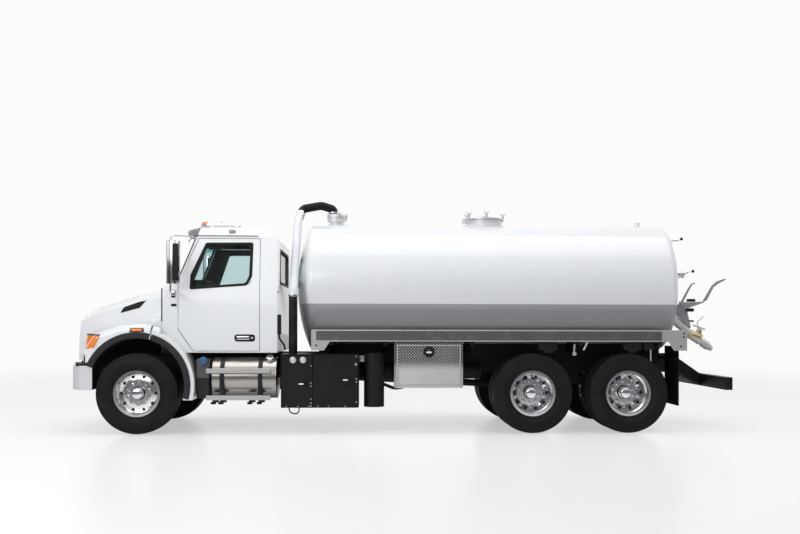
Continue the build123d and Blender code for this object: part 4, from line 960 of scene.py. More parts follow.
    def band(self, outer: Sequence[Point], inner: Sequence[Point], run: Point, bevel: float = 0.0) -> "Blank":
        """Extrudes the strip between two outlines of as many points.

        Args:
            outer: Outer outline.
            inner: Inner outline.
            run: How far and where the strip is carried.
            bevel: Width of the softened edges.

        Returns:
            This blank.
        """
        bm = self.bm
        before = set(bm.verts)
        edges = []
        for outline in (outer, inner):
            vertices = [bm.verts.new(point) for point in outline]
            edges += [bm.edges.new(pair) for pair in zip(vertices, vertices[1:] + vertices[:1])]
        strip = bmesh.ops.bridge_loops(bm, edges=edges)
        made = bmesh.ops.extrude_face_region(bm, geom=strip["faces"])
        moved = [item for item in made["geom"] if isinstance(item, bmesh.types.BMVert)]
        bmesh.ops.translate(bm, verts=moved, vec=run)
        fresh = [v for v in bm.verts if v not in before]
        bmesh.ops.recalc_face_normals(bm, faces=list({f for v in fresh for f in v.link_faces}))
        if bevel:
            self.softened(fresh, bevel)
        return self

    def repeat(self, count: int, axis: Axis, at: Point, make: Callable[["Blank"], None]) -> "Blank":
        """Sets copies of one shape round an axis.

        Args:
            count: Copies.
            axis: The axis that they stand round.
            at: A point on it.
            make: Adds the first copy to a blank.

        Returns:
            This blank.
        """
        for index in range(count):
            before = set(self.bm.verts)
            make(self)
            fresh = [v for v in self.bm.verts if v not in before]
            bmesh.ops.rotate(
                self.bm, verts=fresh, cent=at,
                matrix=Matrix.Rotation(FULL_TURN * index / count, 3, axis.vector)
            )
        return self

    def mesh(self, name: str, smooth: float = 32.0) -> Mesh:
        """Closes the blank.

        Args:
            name: Name of the mesh.
            smooth: Edges flatter than this many degrees shade smoothly.

        Returns:
            The mesh.
        """
        limit = math.radians(smooth)
        for face in self.bm.faces:
            face.smooth = True
        for edge in self.bm.edges:
            edge.smooth = len(edge.link_faces) != 2 or edge.calc_face_angle(0.0) < limit
        mesh = bpy.data.meshes.new(name)
        self.bm.to_mesh(mesh)
        self.bm.free()
        return mesh


def _tube(curve: bpy.types.Curve, kind: str, route: Sequence[Point], radius: float) -> bpy.types.Spline:
    """Gives a curve one round spline through a route."""
    curve.dimensions = "3D"
    curve.bevel_depth = radius
    spline = curve.splines.new(kind)
    spline.points.add(len(route) - 1)
    for point, place in zip(spline.points, route):
        point.co = (*place, 1.0)
    return spline


def _meshed(curve: bpy.types.Curve) -> Mesh:
    """Turns a curve into a smooth mesh and drops the curve."""
    holder = bpy.data.objects.new(curve.name, curve)
    bpy.context.scene.collection.objects.link(holder)
    mesh = bpy.data.meshes.new_from_object(holder)
    bpy.data.objects.remove(holder)
    bpy.data.curves.remove(curve)
    mesh.shade_smooth()
    return mesh


def hose_mesh(name: str, route: Sequence[Point], radius: float, sides: int = 3) -> Mesh:
    """Round tube along a smooth route.

    Args:
        name: Name of the mesh.
        route: Control points of the route.
        radius: Radius of the tube.
        sides: Resolution of the tube's ring.

    Returns:
        The tube's mesh.
    """
    curve = bpy.data.curves.new(name, "CURVE")
    curve.bevel_resolution = sides
    curve.use_fill_caps = True
    curve.resolution_u = 12
    spline = _tube(curve, "NURBS", route, radius)
    spline.order_u = 3
    spline.use_endpoint_u = True
    return _meshed(curve)


def bar_mesh(name: str, route: Sequence[Point], radius: float, closed: bool = False) -> Mesh:
    """Round bar that follows a route point by point.

    Args:
        name: Name of the mesh.
        route: Points that the bar passes.
        radius: Radius of the bar.
        closed: Whether it joins its own start.

    Returns:
        The bar's mesh.
    """
    curve = bpy.data.curves.new(name, "CURVE")
    curve.bevel_resolution = 3
    curve.use_fill_caps = not closed
    _tube(curve, "POLY", route, radius).use_cyclic_u = closed
    return _meshed(curve)


class Yard:
    """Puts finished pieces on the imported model's bodies."""

    def __init__(self, frame: dict[str, Any]) -> None:
        """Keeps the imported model."""
        self.frame = frame
        self.count = 0
        self._trees: dict[str, BVHTree] = {}

    def touch(self, node: str, at: Point, way: Point) -> Vector:
        """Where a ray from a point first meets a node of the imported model."""
        if node not in self._trees:
            mesh = self.frame["nodes"][node].data
            self._trees[node] = BVHTree.FromPolygons(
                [v.co for v in mesh.vertices], [tuple(p.vertices) for p in mesh.polygons]
            )
        hit = self._trees[node].ray_cast(Vector(at), Vector(way))[0]
        return hit if hit else Vector(at)

    def patch(self, node: str, outline: Sequence[Flat], side: int, name: str, finish: Finish,
              proud: float = 0.004, bevel: float = 0.0, also: Sequence[str] = (), cell: float = 0.03,
              lean: float = 0.0) -> Object:
        """Lays a thin plate over a node's flank, following it.

        Args:
            node: Node that it lies on.
            outline: Outline of the plate in X and Z.
            side: -1 for the driver's side, 1 for the other.
            name: Name of the plate.
            finish: What it is finished in.
            proud: How far it stands out.
            bevel: Width of its softened edges.
            also: Further nodes that it may lie on.
            cell: Pitch at which it follows the flank.
            lean: Run in X, for each metre inwards, of the line along which it is laid on.

        Returns:
            The plate.
        """
        nodes = (node, *also)
        blank = Blank()
        bm = blank.bm
        bm.faces.new([bm.verts.new((x, 0.0, z)) for x, z in outline])
        for lane, way in ((0, Axis.X.value), (1, Axis.Z.value)):
            places = [point[lane] for point in outline]
            low, span = min(places), max(places) - min(places)
            cuts = int(span / cell)
            for index in range(1, cuts + 1):
                level = low + span * index / (cuts + 1)
                at = (level, 0.0, 0.0) if lane == 0 else (0.0, 0.0, level)
                geometry = bm.verts[:] + bm.edges[:] + bm.faces[:]
                bmesh.ops.bisect_plane(bm, geom=geometry, plane_co=at, plane_no=way)
        for vertex in bm.verts:
            start = (vertex.co.x - lean * (RAY_START - FLANK), side * RAY_START, vertex.co.z)
            rays = [self.touch(item, start, (lean, -side, 0.0)) for item in nodes]
            hits = (ray for ray in rays if abs(ray.y) < RAY_MISS)
            hit = max(hits, key=lambda ray: side * ray.y, default=rays[0])
            vertex.co = (hit.x, hit.y - side * SUNK, hit.z)
        made = bmesh.ops.extrude_face_region(bm, geom=bm.faces[:])
        moved = [item for item in made["geom"] if isinstance(item, bmesh.types.BMVert)]
        bmesh.ops.translate(bm, verts=moved, vec=(0.0, side * (proud + SUNK), 0.0))
        bmesh.ops.recalc_face_normals(bm, faces=bm.faces[:])
        if bevel:
            blank.softened(bm.verts[:], bevel, 2, 0.9)
        return self.place(blank.mesh(name), finish, self.body_of(node))

    def body_of(self, node: str) -> str:
        """The body that carries a node."""
        return self.frame["nodes"][node]["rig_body"]

    def place(self, mesh: Mesh, finish: Finish, body: str, replaces: Sequence[str] = ()) -> Object:
        """Sets a piece on its body.

        Args:
            mesh: The piece's mesh, in its place.
            finish: What it is finished in.
            body: The body that carries it.
            replaces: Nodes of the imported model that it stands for.

        Returns:
            The piece.
        """
        piece = bpy.data.objects.new(mesh.name, mesh)
        bpy.context.scene.collection.objects.link(piece)
        piece.data.materials.clear()
        piece.data.materials.append(finish.material())
        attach(piece, body)
        if replaces:
            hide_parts(*replaces)
        self.count += 1
        LOG.info("%s on %s: %d faces", piece.name, body, len(mesh.polygons))
        return piece

    def dress(self, node: str, finish: Finish) -> None:
        """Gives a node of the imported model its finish."""
        target = self.frame["nodes"][node]
        if not target.material_slots:
            target.data.materials.append(finish.material())
        for index in range(len(target.material_slots)):
            target.material_slots[index].material = finish.material()

    def soften(self, node: str, finish: Finish, edge: float = 0.004, smooth: float = 32.0,
               keep: Callable[[Vector], bool] | None = None, name: str | None = None,
               replace: bool = True) -> Object:
        """Puts a merged copy of a node, with softened edges, in its place.

        Args:
            node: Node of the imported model.
            finish: What the copy is finished in.
            edge: Width of the softened edges, 0 for none.
            smooth: Edges flatter than this many degrees shade smoothly.
            keep: Keeps only the faces whose middle passes.
            name: Name of the copy.
            replace: Whether the copy stands for the node.

        Returns:
            The copy.
        """
        blank = Blank()
        blank.bm.from_mesh(self.frame["nodes"][node].data)
        bmesh.ops.remove_doubles(blank.bm, verts=blank.bm.verts[:], dist=MERGE)
        if keep:
            lost = [f for f in blank.bm.faces if not keep(f.calc_center_median())]
            bmesh.ops.delete(blank.bm, geom=lost, context="FACES")
            open_edges = [e for e in blank.bm.edges if len(e.link_faces) == 1]
            bmesh.ops.holes_fill(blank.bm, edges=open_edges, sides=0)
            bmesh.ops.recalc_face_normals(blank.bm, faces=blank.bm.faces[:])
        bmesh.ops.dissolve_limit(
            blank.bm, angle_limit=math.radians(0.6), verts=blank.bm.verts[:], edges=blank.bm.edges[:]
        )
        piece = self.place(blank.mesh(name or f"{node}_finished", smooth), finish, self.body_of(node),
                           [node] if replace else [])
        if edge:
            bevel = piece.modifiers.new("edges", "BEVEL")
            bevel.width = edge
            bevel.segments = 2
            bevel.limit_method = "ANGLE"
            bevel.angle_limit = math.radians(smooth)
            bevel.miter_outer = "MITER_ARC"
            bevel.harden_normals = True
        return piece


@dataclass
class Dress:
    """Fittings of one sub-assembly, carried by the chassis unless a piece names another node."""

    yard: Yard

    def put(self, blank: Blank, name: str, finish: Finish, on: str | None = None) -> Object:
        """Closes a blank and sets it on its body.

        Args:
            blank: The piece's shape.
            name: Name of the piece.
            finish: What it is finished in.
            on: Node whose body carries it, when it isn't the chassis.

        Returns:
            The piece.
        """
        return self.yard.place(blank.mesh(name), finish, self.yard.body_of(on) if on else CHASSIS)


# ---- studio
@dataclass
class Studio:
    """Floor, backdrop, lamps and camera."""

    camera_at: Point = (-0.562, -13.686, 1.4421)
    turn: float = 0.047
    roll: float = 0.002
    focal: float = 42.146
    shift: Flat = (-0.01835, 0.07374)
    floor_colour: Colour = (0.95, 0.95, 0.952)
    white: Colour = (0.97, 0.97, 0.972)
    dim_floor: Colour = (0.22, 0.22, 0.225)
    dim_wall: Colour = (0.13, 0.13, 0.135)
    floor_glow: float = 0.50
    fade_start: float = 7.0
    fade_end: float = 26.0
    room_colour: Colour = (0.95, 0.97, 1.0)
    room_strength: float = 0.60
    sensor: float = 36.0
    sight: float = 400.0
    floor_half: float = 140.0
    # name, place, what it points at, width and height, and power of each soft box
    boxes: tuple[tuple[str, Point, Point, Flat, float], ...] = (
        ("overhead_box", (0.0, -1.5, 9.0), (0.0, 0.0, 0.0), (14.0, 6.0), 400.0),
        ("front_box", (-6.5, -9.5, 5.0), (-0.5, 0.0, 1.0), (9.0, 4.0), 300.0),
    )

    def camera(self) -> None:
        """Sets the camera up."""
        lens = bpy.data.cameras.new("camera")
        lens.lens = self.focal
        lens.sensor_width = self.sensor
        lens.shift_x, lens.shift_y = self.shift
        lens.clip_end = self.sight
        camera = bpy.data.objects.new("camera", lens)
        bpy.context.scene.collection.objects.link(camera)
        level = Matrix.Rotation(-self.turn, 4, "Z") @ Matrix.Rotation(math.radians(90.0), 4, "X")
        camera.matrix_world = Matrix.Translation(self.camera_at) @ level @ Matrix.Rotation(self.roll, 4, "Z")
        bpy.context.scene.camera = camera

    def floor(self) -> None:
        """Lays the pale floor, which fades into the white backdrop away from the truck."""
        blank = Blank()
        bmesh.ops.create_grid(blank.bm, x_segments=2, y_segments=2, size=self.floor_half)
        mesh = blank.mesh("studio_floor")
        recipe = Recipe("studio_floor")
        reach = recipe.node("ShaderNodeVectorMath", {"operation": "LENGTH"}, recipe.place()).out("Value")
        ray = recipe.node("ShaderNodeLightPath")
        far = reach.between(3.5, 9.0) * ray.out("Is Glossy Ray")
        tint = recipe.mix(far, self.floor_colour, self.dim_floor)
        lit = recipe.node("ShaderNodeBsdfPrincipled", None, Base_Color=tint, Roughness=0.22,
                          Specular_IOR_Level=0.06)
        glow = recipe.node("ShaderNodeEmission", None, self.white, 1.0)
        share = reach.between(self.fade_start, self.fade_end, self.floor_glow, 1.0) * ray.out("Is Camera Ray")
        blend = recipe.node("ShaderNodeMixShader", None, share, lit, glow)
        output = recipe.tree.nodes.new("ShaderNodeOutputMaterial")
        recipe.tree.links.new(blend.socket, output.inputs["Surface"])
        mesh.materials.append(recipe.material)
        floor = bpy.data.objects.new("studio_floor", mesh)
        bpy.context.scene.collection.objects.link(floor)

    def world(self) -> None:
        """Lights the room evenly, shows white to the camera and a shaded wall to polished metal."""
        world = bpy.data.worlds.new("studio")
        bpy.context.scene.world = world
        world.use_nodes = True
        recipe = Recipe.over(world.node_tree)
        ray = recipe.node("ShaderNodeLightPath")
        view = recipe.node("ShaderNodeSeparateXYZ", None, recipe.node("ShaderNodeTexCoord").out("Generated"))
        upward, ahead = view.out("Z"), view.out("Y")
        wall = (upward.between(0.10, 0.80) + ahead.between(-0.2, 0.7)).least(1.0)
        mirrored = recipe.mix(wall, self.dim_wall, self.white)
        room = recipe.node("ShaderNodeBackground", None, self.room_colour, self.room_strength)
        white = recipe.node("ShaderNodeBackground", None, self.white, 1.0)
        gloss = recipe.node("ShaderNodeBackground", None, mirrored, 1.0)
        straight = ray.out("Is Camera Ray").most(ray.out("Is Transmission Ray"))
        lit = recipe.node("ShaderNodeMixShader", None, ray.out("Is Glossy Ray"), room, gloss)
        shown = recipe.node("ShaderNodeMixShader", None, straight, lit, white)
        output = recipe.tree.nodes.new("ShaderNodeOutputWorld")
        recipe.tree.links.new(shown.socket, output.inputs["Surface"])

    def lamp(self, name: str, at: Point, toward: Point, size: Flat, watts: float) -> None:
        """Hangs one soft box.

        Args:
            name: Name of the lamp.
            at: Where it hangs.
            toward: What it points at.
            size: Its width and height.
            watts: Its power.
        """
        data = bpy.data.lights.new(name, "AREA")
        data.shape = "RECTANGLE"
        data.size, data.size_y = size
        data.energy = watts
        lamp = bpy.data.objects.new(name, data)
        bpy.context.scene.collection.objects.link(lamp)
        aim = (Vector(toward) - Vector(at)).to_track_quat("-Z", "Y").to_matrix().to_4x4()
        lamp.matrix_world = Matrix.Translation(at) @ aim

    def build(self) -> None:
        """Builds the whole studio."""
        view = bpy.context.scene.view_settings
        view.view_transform = "Standard"
        self.camera()
        self.floor()
        self.world()
        for name, at, toward, size, watts in self.boxes:
            self.lamp(name, at, toward, size, watts)
        LOG.info("studio ready")


# ---- tyres and wheels
@dataclass
class Tyre:
    """Road tyre with grooves, shoulder blocks and raised rings on its wall."""

    radius: float
    section: float
    tread: float
    centre: Point
    bead: float = 0.300
    blocks: int = 52
    grooves: int = 4
    groove_depth: float = 0.014
    groove_half: float = 0.006
    crown_drop: float = 0.007

    def _profile(self) -> list[Flat]:
        """Radius and height round the section, from one bead over the tread to the other."""
        half, wall, r = self.tread / 2, self.section / 2, self.radius
        points: list[Flat] = []
        pitch = self.tread / (self.grooves + 1)
        edges = [-half]
        for index in range(self.grooves):
            middle = -half + pitch * (index + 1)
            edges += [middle - self.groove_half, middle + self.groove_half]
        edges.append(half)
        for index in range(0, len(edges), 2):
            left, right = edges[index], edges[index + 1]
            crown = [r - self.crown_drop * (side / half) ** 2 for side in (left, right)]
            points += [(crown[0], left), (crown[1], right)]
            if index + 2 < len(edges):
                low = r - self.groove_depth
                points += [(low, right + 0.001), (low, edges[index + 2] - 0.001)]
        side = [
            (r - 0.016, half + 0.006), (r - 0.042, half + 0.012), (r - 0.046, half + 0.010),
            (r - 0.085, wall - 0.010), (r - 0.118, wall - 0.002), (r - 0.122, wall - 0.001),
            (r - 0.124, wall - 0.003), (r - 0.150, wall - 0.004), (r - 0.153, wall - 0.001),
            (r - 0.158, wall - 0.001), (r - 0.162, wall - 0.006), (self.bead + 0.035, wall - 0.026),
            (self.bead + 0.030, wall - 0.022), (self.bead + 0.022, wall - 0.026),
            (self.bead + 0.012, wall - 0.040), (self.bead - 0.006, wall - 0.052),
        ]
        return [(radius, -height) for radius, height in reversed(side)] + points + side

    def add(self, blank: Blank) -> None:
        """Adds the tyre to a blank."""
        blank.turned(self._profile(), Axis.Y, self.centre, steps=120, ring=True)
        half, r = self.tread / 2, self.radius
        x, y, z = self.centre

        def shoulder(target: Blank) -> None:
            """One pair of shoulder blocks."""
            for side in SIDES:
                low, high = sorted((y + side * (half - 0.020), y + side * (half + 0.006)))
                target.box((x - 0.014, low, z + r - 0.030), (x + 0.014, high, z + r - 0.010), bevel=0.0)

        blank.repeat(self.blocks, Axis.Y, self.centre, shoulder)


@dataclass
class RunningGear(Dress):
    """Every tyre and wheel."""

    front_radius: float = 0.540
    rear_radius: float = 0.538
    front_tread: float = 0.300
    rear_tread: float = 0.232
    rear_section: float = 0.280

    def tyres(self) -> None:
        """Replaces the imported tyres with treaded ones."""
        for side, name in SIDE_NAME.items():
            self._tyre_piece(f"front_tyre_{name}", self.front_radius, self.front_tread, 1)
            for place in ("forward", "rearward"):
                self._tyre_piece(f"{place}_tyres_{name}", self.rear_radius, self.rear_tread, 2)

    def _tyre_piece(self, node: str, radius: float, tread: float, count: int) -> None:
        """Replaces one node of one or two tyres.

        Args:
            node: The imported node.
            radius: Outer radius.
            tread: Width of the tread.
            count: Tyres in the node.
        """
        low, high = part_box(node)
        section = (high.y - low.y) if count == 1 else self.rear_section
        middles = [(low.y + high.y) / 2] if count == 1 else [low.y + section / 2, high.y - section / 2]
        blank = Blank()
        for middle in middles:
            centre = ((low.x + high.x) / 2, middle, (low.z + high.z) / 2)
            Tyre(radius, section, tread, centre).add(blank)
        self.yard.place(blank.mesh(f"{node}_treaded"), Finish.TYRE, self.yard.body_of(node), [node])

    def wheels(self) -> None:
        """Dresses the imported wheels."""
        for side, name in SIDE_NAME.items():
            for place in ("front", "forward", "rearward"):
                self.yard.soften(f"{place}_wheel_{name}", Finish.POLISHED, edge=0.0, smooth=40.0)

    def build(self) -> None:
        """Builds the running gear."""
        self.tyres()
        self.wheels()


# ---- tank
@dataclass
class TankDress(Dress):
    """The vessel's smooth shell with its dished heads."""

    sides: int = 192
    radius: float = 0.915
    crown: float = 2.2
    knuckle: float = 0.1
    dish_steps: int = 16
    corner_steps: int = 8
    inside: float = 0.0001

    def shell(self) -> None:
        """Turns the vessel smoothly about its own line."""
        low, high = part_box("tank_shell")
        self.radius = (high.z - low.z) / 2 - self.inside
        middle = (high.z + low.z) / 2
        profile = self._head(low.x + self.inside, 1) + self._head(high.x - self.inside, -1)[::-1]
        blank = Blank().turned(profile, Axis.X, (0.0, 0.0, middle), steps=self.sides)
        self.yard.place(blank.mesh("vessel"), Finish.VESSEL, CHASSIS, ["tank_shell"])

    def _head(self, tip: float, inward: int) -> list[Flat]:
        """Profile of one head from its pole to its seam.

        Args:
            tip: Where the pole stands along X.
            inward: Direction along X from the pole to the vessel.

        Returns:
            Points of radius and place along X.
        """
        reach, rise = self.crown - self.knuckle, self.radius - self.knuckle
        depth = self.crown - math.sqrt(reach**2 - rise**2)
        swing = math.asin(rise / reach)
        dish_turns = [swing * step / self.dish_steps for step in range(self.dish_steps + 1)]
        dish = [
            (self.crown * math.sin(turn), tip + inward * self.crown * (1 - math.cos(turn)))
            for turn in dish_turns
        ]
        rest = math.pi / 2 - swing
        corner_turns = [swing + rest * step / self.corner_steps for step in range(1, self.corner_steps + 1)]
        corner = [
            (rise + self.knuckle * math.sin(turn), tip + inward * (depth - self.knuckle * math.cos(turn)))
            for turn in corner_turns
        ]
        return dish + corner

    def build(self) -> None:
        """Builds the vessel."""
        self.shell()


# ---- cab
@dataclass
class CabDress(Dress):
    """Window frames, mirrors, visor, handles and roof fittings of the cab."""

    frame_outer: tuple[Flat, ...] = (
        (-2.980, 1.923), (-2.217, 1.980), (-2.151, 2.107), (-2.141, 2.563), (-2.775, 2.559), (-2.974, 2.117),
    )
    frame_inner: tuple[Flat, ...] = (
        (-2.957, 1.955), (-2.240, 2.013), (-2.192, 2.112), (-2.180, 2.526), (-2.745, 2.523), (-2.895, 2.112),
    )
    frame_radii: tuple[float, ...] = (0.030, 0.055, 0.055, 0.030, 0.040, 0.120)
    half: float = 1.05
    belt: float = 1.93
    lean: float = 0.132
    mirror_low: float = 1.985
    mirror_high: float = 2.552
    mirror_front: float = -3.222
    mirror_rear: float = -3.060
    mirror_y: float = 1.318
    post_x: float = -3.175
    foot_z: float = 1.872
    marker_y: tuple[float, ...] = (-0.52, 0.0, 0.52)
    roof_top: float = 2.837
    roof_fall: float = 0.018
    roof_flat: float = 0.555

    def skin(self, z: float) -> float:
        """Half width of the cab's side at a height."""
        return self.half - max(0.0, z - self.belt) * self.lean

    def door_frames(self) -> None:
        """Black frames round the door windows."""
        outer = rounded(self.frame_outer, self.frame_radii)
        inner = rounded(self.frame_inner, self.frame_radii)
        for side, name in SIDE_NAME.items():
            loops = [[(x, side * (self.skin(z) - 0.012), z) for x, z in loop] for loop in (outer, inner)]
            blank = Blank().band(*loops, (0.0, side * 0.018, 0.0), 0.003)
            self.put(blank, f"door_window_frame_{name}", Finish.PLASTIC, f"door_{name}")

    def screen_point(self, y: float, z: float, out: float = 0.0) -> Point:
        """A point on the windscreen's outer surface, or that far in front of it."""
        return (-3.142 + (z - 2.059) * 0.431 - 0.14 * (1.0 - (y / 0.95) ** 2) - out, y, z)

    def gaskets(self) -> None:
        """Rubber gaskets round the windscreen and the rear window."""
        corners = rounded([(-0.85, 2.075), (0.85, 2.075), (0.77, 2.610), (-0.77, 2.610)], 0.05)
        route: list[Point] = []
        for (y0, z0), (y1, z1) in zip(corners, corners[1:] + corners[:1]):
            pieces = max(1, round(math.dist((y0, z0), (y1, z1)) / 0.06))
            for step in range(pieces):
                share = step / pieces
                route.append(self.screen_point(y0 + (y1 - y0) * share, z0 + (z1 - z0) * share, 0.001))
        self.yard.place(bar_mesh("windscreen_gasket", route, 0.013, True), Finish.PLASTIC, CHASSIS)
        window = oblong(-0.62, 0.62, 2.03, 2.49)
        outer, inner = rounded(grown(window, 0.016), 0.06), rounded(grown(window, -0.022), 0.04)
        loops = [[(-1.822, y, z) for y, z in loop] for loop in (outer, inner)]
        blank = Blank().band(*loops, (0.013, 0.0, 0.0), 0.003)
        self.put(blank, "rear_window_gasket", Finish.PLASTIC)

    def wipers(self) -> None:
        """Two wipers parked low on the windscreen."""
        blank = Blank()
        for start, middle, end in (((-0.08, 2.06), (-0.42, 2.155), (-0.72, 2.115)),
                                   ((0.56, 2.06), (0.22, 2.155), (-0.06, 2.115))):
            pivot, hook = self.screen_point(*start, 0.03), self.screen_point(*middle, 0.035)
            blank.rod(self.screen_point(*start, -0.01), pivot, 0.017, sides=16)
            blank.rod(pivot, hook, 0.007, tip=0.005, sides=10)
            blank.rod(self.screen_point(middle[0] + 0.27, middle[1] - 0.015, 0.022),
                      self.screen_point(*end, 0.022), 0.008, tip=0.006, sides=8)
        self.put(blank, "wipers", Finish.PLASTIC)

    def handles(self) -> None:
        """Recessed door handles."""
        pocket = rounded(oblong(-2.383, -2.108, 1.229, 1.325), 0.042)
        for side, name in SIDE_NAME.items():
            dish = Blank().sheet(upright(pocket, side * 1.047), (0.0, side * 0.007, 0.0), 0.002)
            self.put(dish, f"door_handle_pocket_{name}", Finish.PLASTIC, f"door_{name}")
            grip = rounded(oblong(-2.356, -2.176, 1.254, 1.302), 0.022)
            bar = Blank().sheet(upright(grip, side * 1.053), (0.0, side * 0.014, 0.0), 0.006, 3)
            bar.rod((-2.145, side * 1.052, 1.277), (-2.145, side * 1.060, 1.277), 0.013, bevel=0.002)
            self.put(bar, f"door_handle_{name}", Finish.CHROME, f"door_{name}")

    def mirrors(self) -> None:
        """Tall mirrors with chromed fronts, glass behind and curved stays."""
        low, high, front, rear = self.mirror_low, self.mirror_high, self.mirror_front, self.mirror_rear
        post, foot, outer, inner = self.post_x, self.foot_z, 1.373, 1.268
        for side, name in SIDE_NAME.items():
            plan = rounded([(front, inner), (front, outer), (rear, outer), (rear, inner)],
                           (0.035, 0.035, 0.012, 0.012))
            case = Blank().sheet([(x, side * y, low) for x, y in plan], (0.0, 0.0, high - low), 0.012, 3)
            self.yard.place(case.mesh(f"mirror_case_{name}"), Finish.MIRROR_SHELL, CHASSIS, ["mirrors"])
            glass = Blank().flank(side, (rear - 0.002, 1.280, 2.150), (rear + 0.003, 1.361, 2.530), 0.002)
            glass.flank(side, (rear - 0.002, 1.280, 2.005), (rear + 0.004, 1.361, 2.138), 0.002)
            self.put(glass, f"mirror_glass_{name}", Finish.MIRROR)
            y = side * self.mirror_y
            stays = Blank()
            stays.rod((post, y, high - 0.005), (post, y, high + 0.045), 0.012, sides=16)
            stays.rod((post, y, low + 0.005), (post, y, foot + 0.003), 0.013, sides=16)
            stays.ball((post, y, foot), 0.017)
            stays.rod((post, y, foot), (-3.205, side * 1.060, foot), 0.014, tip=0.018, sides=16)
            stays.flank(side, (front, 1.049, 1.838), (-3.160, 1.075, 1.905), 0.006)
            stays.rod((-3.170, y, 1.930), (-3.150, side * 1.062, 1.900), 0.007, sides=12)
            self.put(stays, f"mirror_stay_{name}", Finish.CHROME)
            arm = hose_mesh(f"mirror_arm_{name}", [
                (post, y, high + 0.035), (post + 0.010, y, high + 0.062), (-3.120, side * 1.25, high + 0.075),
                (-3.010, side * 1.05, high + 0.085), (-2.930, side * 0.962, high + 0.080),
                (-2.915, side * 0.945, high + 0.075),
            ], 0.009)
            self.yard.place(arm, Finish.CHROME, CHASSIS)
            plates = Blank()
            for x0, x1, z0, z1 in ((-3.222, -3.165, 1.815, 1.858), (-3.222, -3.150, 1.698, 1.732)):
                plates.flank(side, (x0, 1.047, z0), (x1, 1.056, z1), 0.002)
            self.put(plates, f"cowl_plates_{name}", Finish.PLASTIC)

    def roof(self) -> None:
        """Visor, air horn, marker lamps, drip rails and antenna."""
        soften = self.yard.soften
        soften("roof_fittings", Finish.BODY, 0.003, keep=lambda p: p.x < -2.8115, name="sun_visor")
        soften("roof_fittings", Finish.CHROME, 0.004, keep=lambda p: p.x > -2.8125 and abs(p.y) > 0.2,
               name="air_horn", replace=False)
        soften("roof_fittings", Finish.PLASTIC, 0.004, keep=lambda p: abs(p.y) < 0.061 and p.x > -2.80,
               name="antenna_base", replace=False)
        lens, seat = Blank(), Blank()
        for y in self.marker_y:
            roof = self.roof_top - self.roof_fall * min(1.0, abs(y) / self.roof_flat)
            lens.box((-2.905, y - 0.045, roof + 0.018), (-2.822, y + 0.045, roof + 0.066), 0.018, 3)
            seat.box((-2.915, y - 0.052, roof - 0.020), (-2.812, y + 0.052, roof + 0.024), 0.008)
        seat.rod((-2.755, 0.0, 2.870), (-2.715, 0.0, 2.955), 0.006, tip=0.004, sides=10)
        self.put(lens, "roof_markers", Finish.AMBER)
        self.put(seat, "marker_seats", Finish.GREY)
        for side, name in SIDE_NAME.items():
            route = [(-3.010, side * 0.972, 2.560), (-2.955, side * 0.966, 2.640),
                     (-2.900, side * 0.964, 2.652), (-2.080, side * 0.964, 2.652)]
            self.yard.place(bar_mesh(f"drip_rail_{name}", route, 0.0055), Finish.PLASTIC, CHASSIS)
            bump = Blank().flank(side, (-2.480, 0.885, 2.700), (-2.390, 0.930, 2.742), 0.012, 3)
            self.put(bump, f"roof_bracket_{name}", Finish.GREY)

    def rear_edge(self) -> None:
        """Drain trim, hose and sensor on the cab's rear corner."""
        trim = rounded(oblong(-1.811, -1.768, 1.318, 1.593), 0.018)
        plate = Blank().sheet(upright(trim, -1.052), (0.0, 0.10, 0.0), 0.004)
        self.put(plate, "cab_vent", Finish.PLASTIC)
        drain = hose_mesh("cab_drain", [(-1.790, -1.02, 1.330), (-1.790, -1.02, 1.270),
                                        (-1.750, -1.02, 1.220), (-1.720, -1.00, 1.180),
                                        (-1.716, -0.98, 1.120)], 0.012)
        self.yard.place(drain, Finish.HOSE, CHASSIS)
        knob = Blank().rod((-1.816, -0.99, 1.896), (-1.796, -0.99, 1.896), 0.016, sides=16, bevel=0.003)
        self.put(knob, "cab_lamp", Finish.GREY)

    def build(self) -> None:
        """Builds everything on the cab."""
        self.door_frames()
        self.gaskets()
        self.wipers()
        self.handles()
        self.mirrors()
        self.roof()
        self.rear_edge()


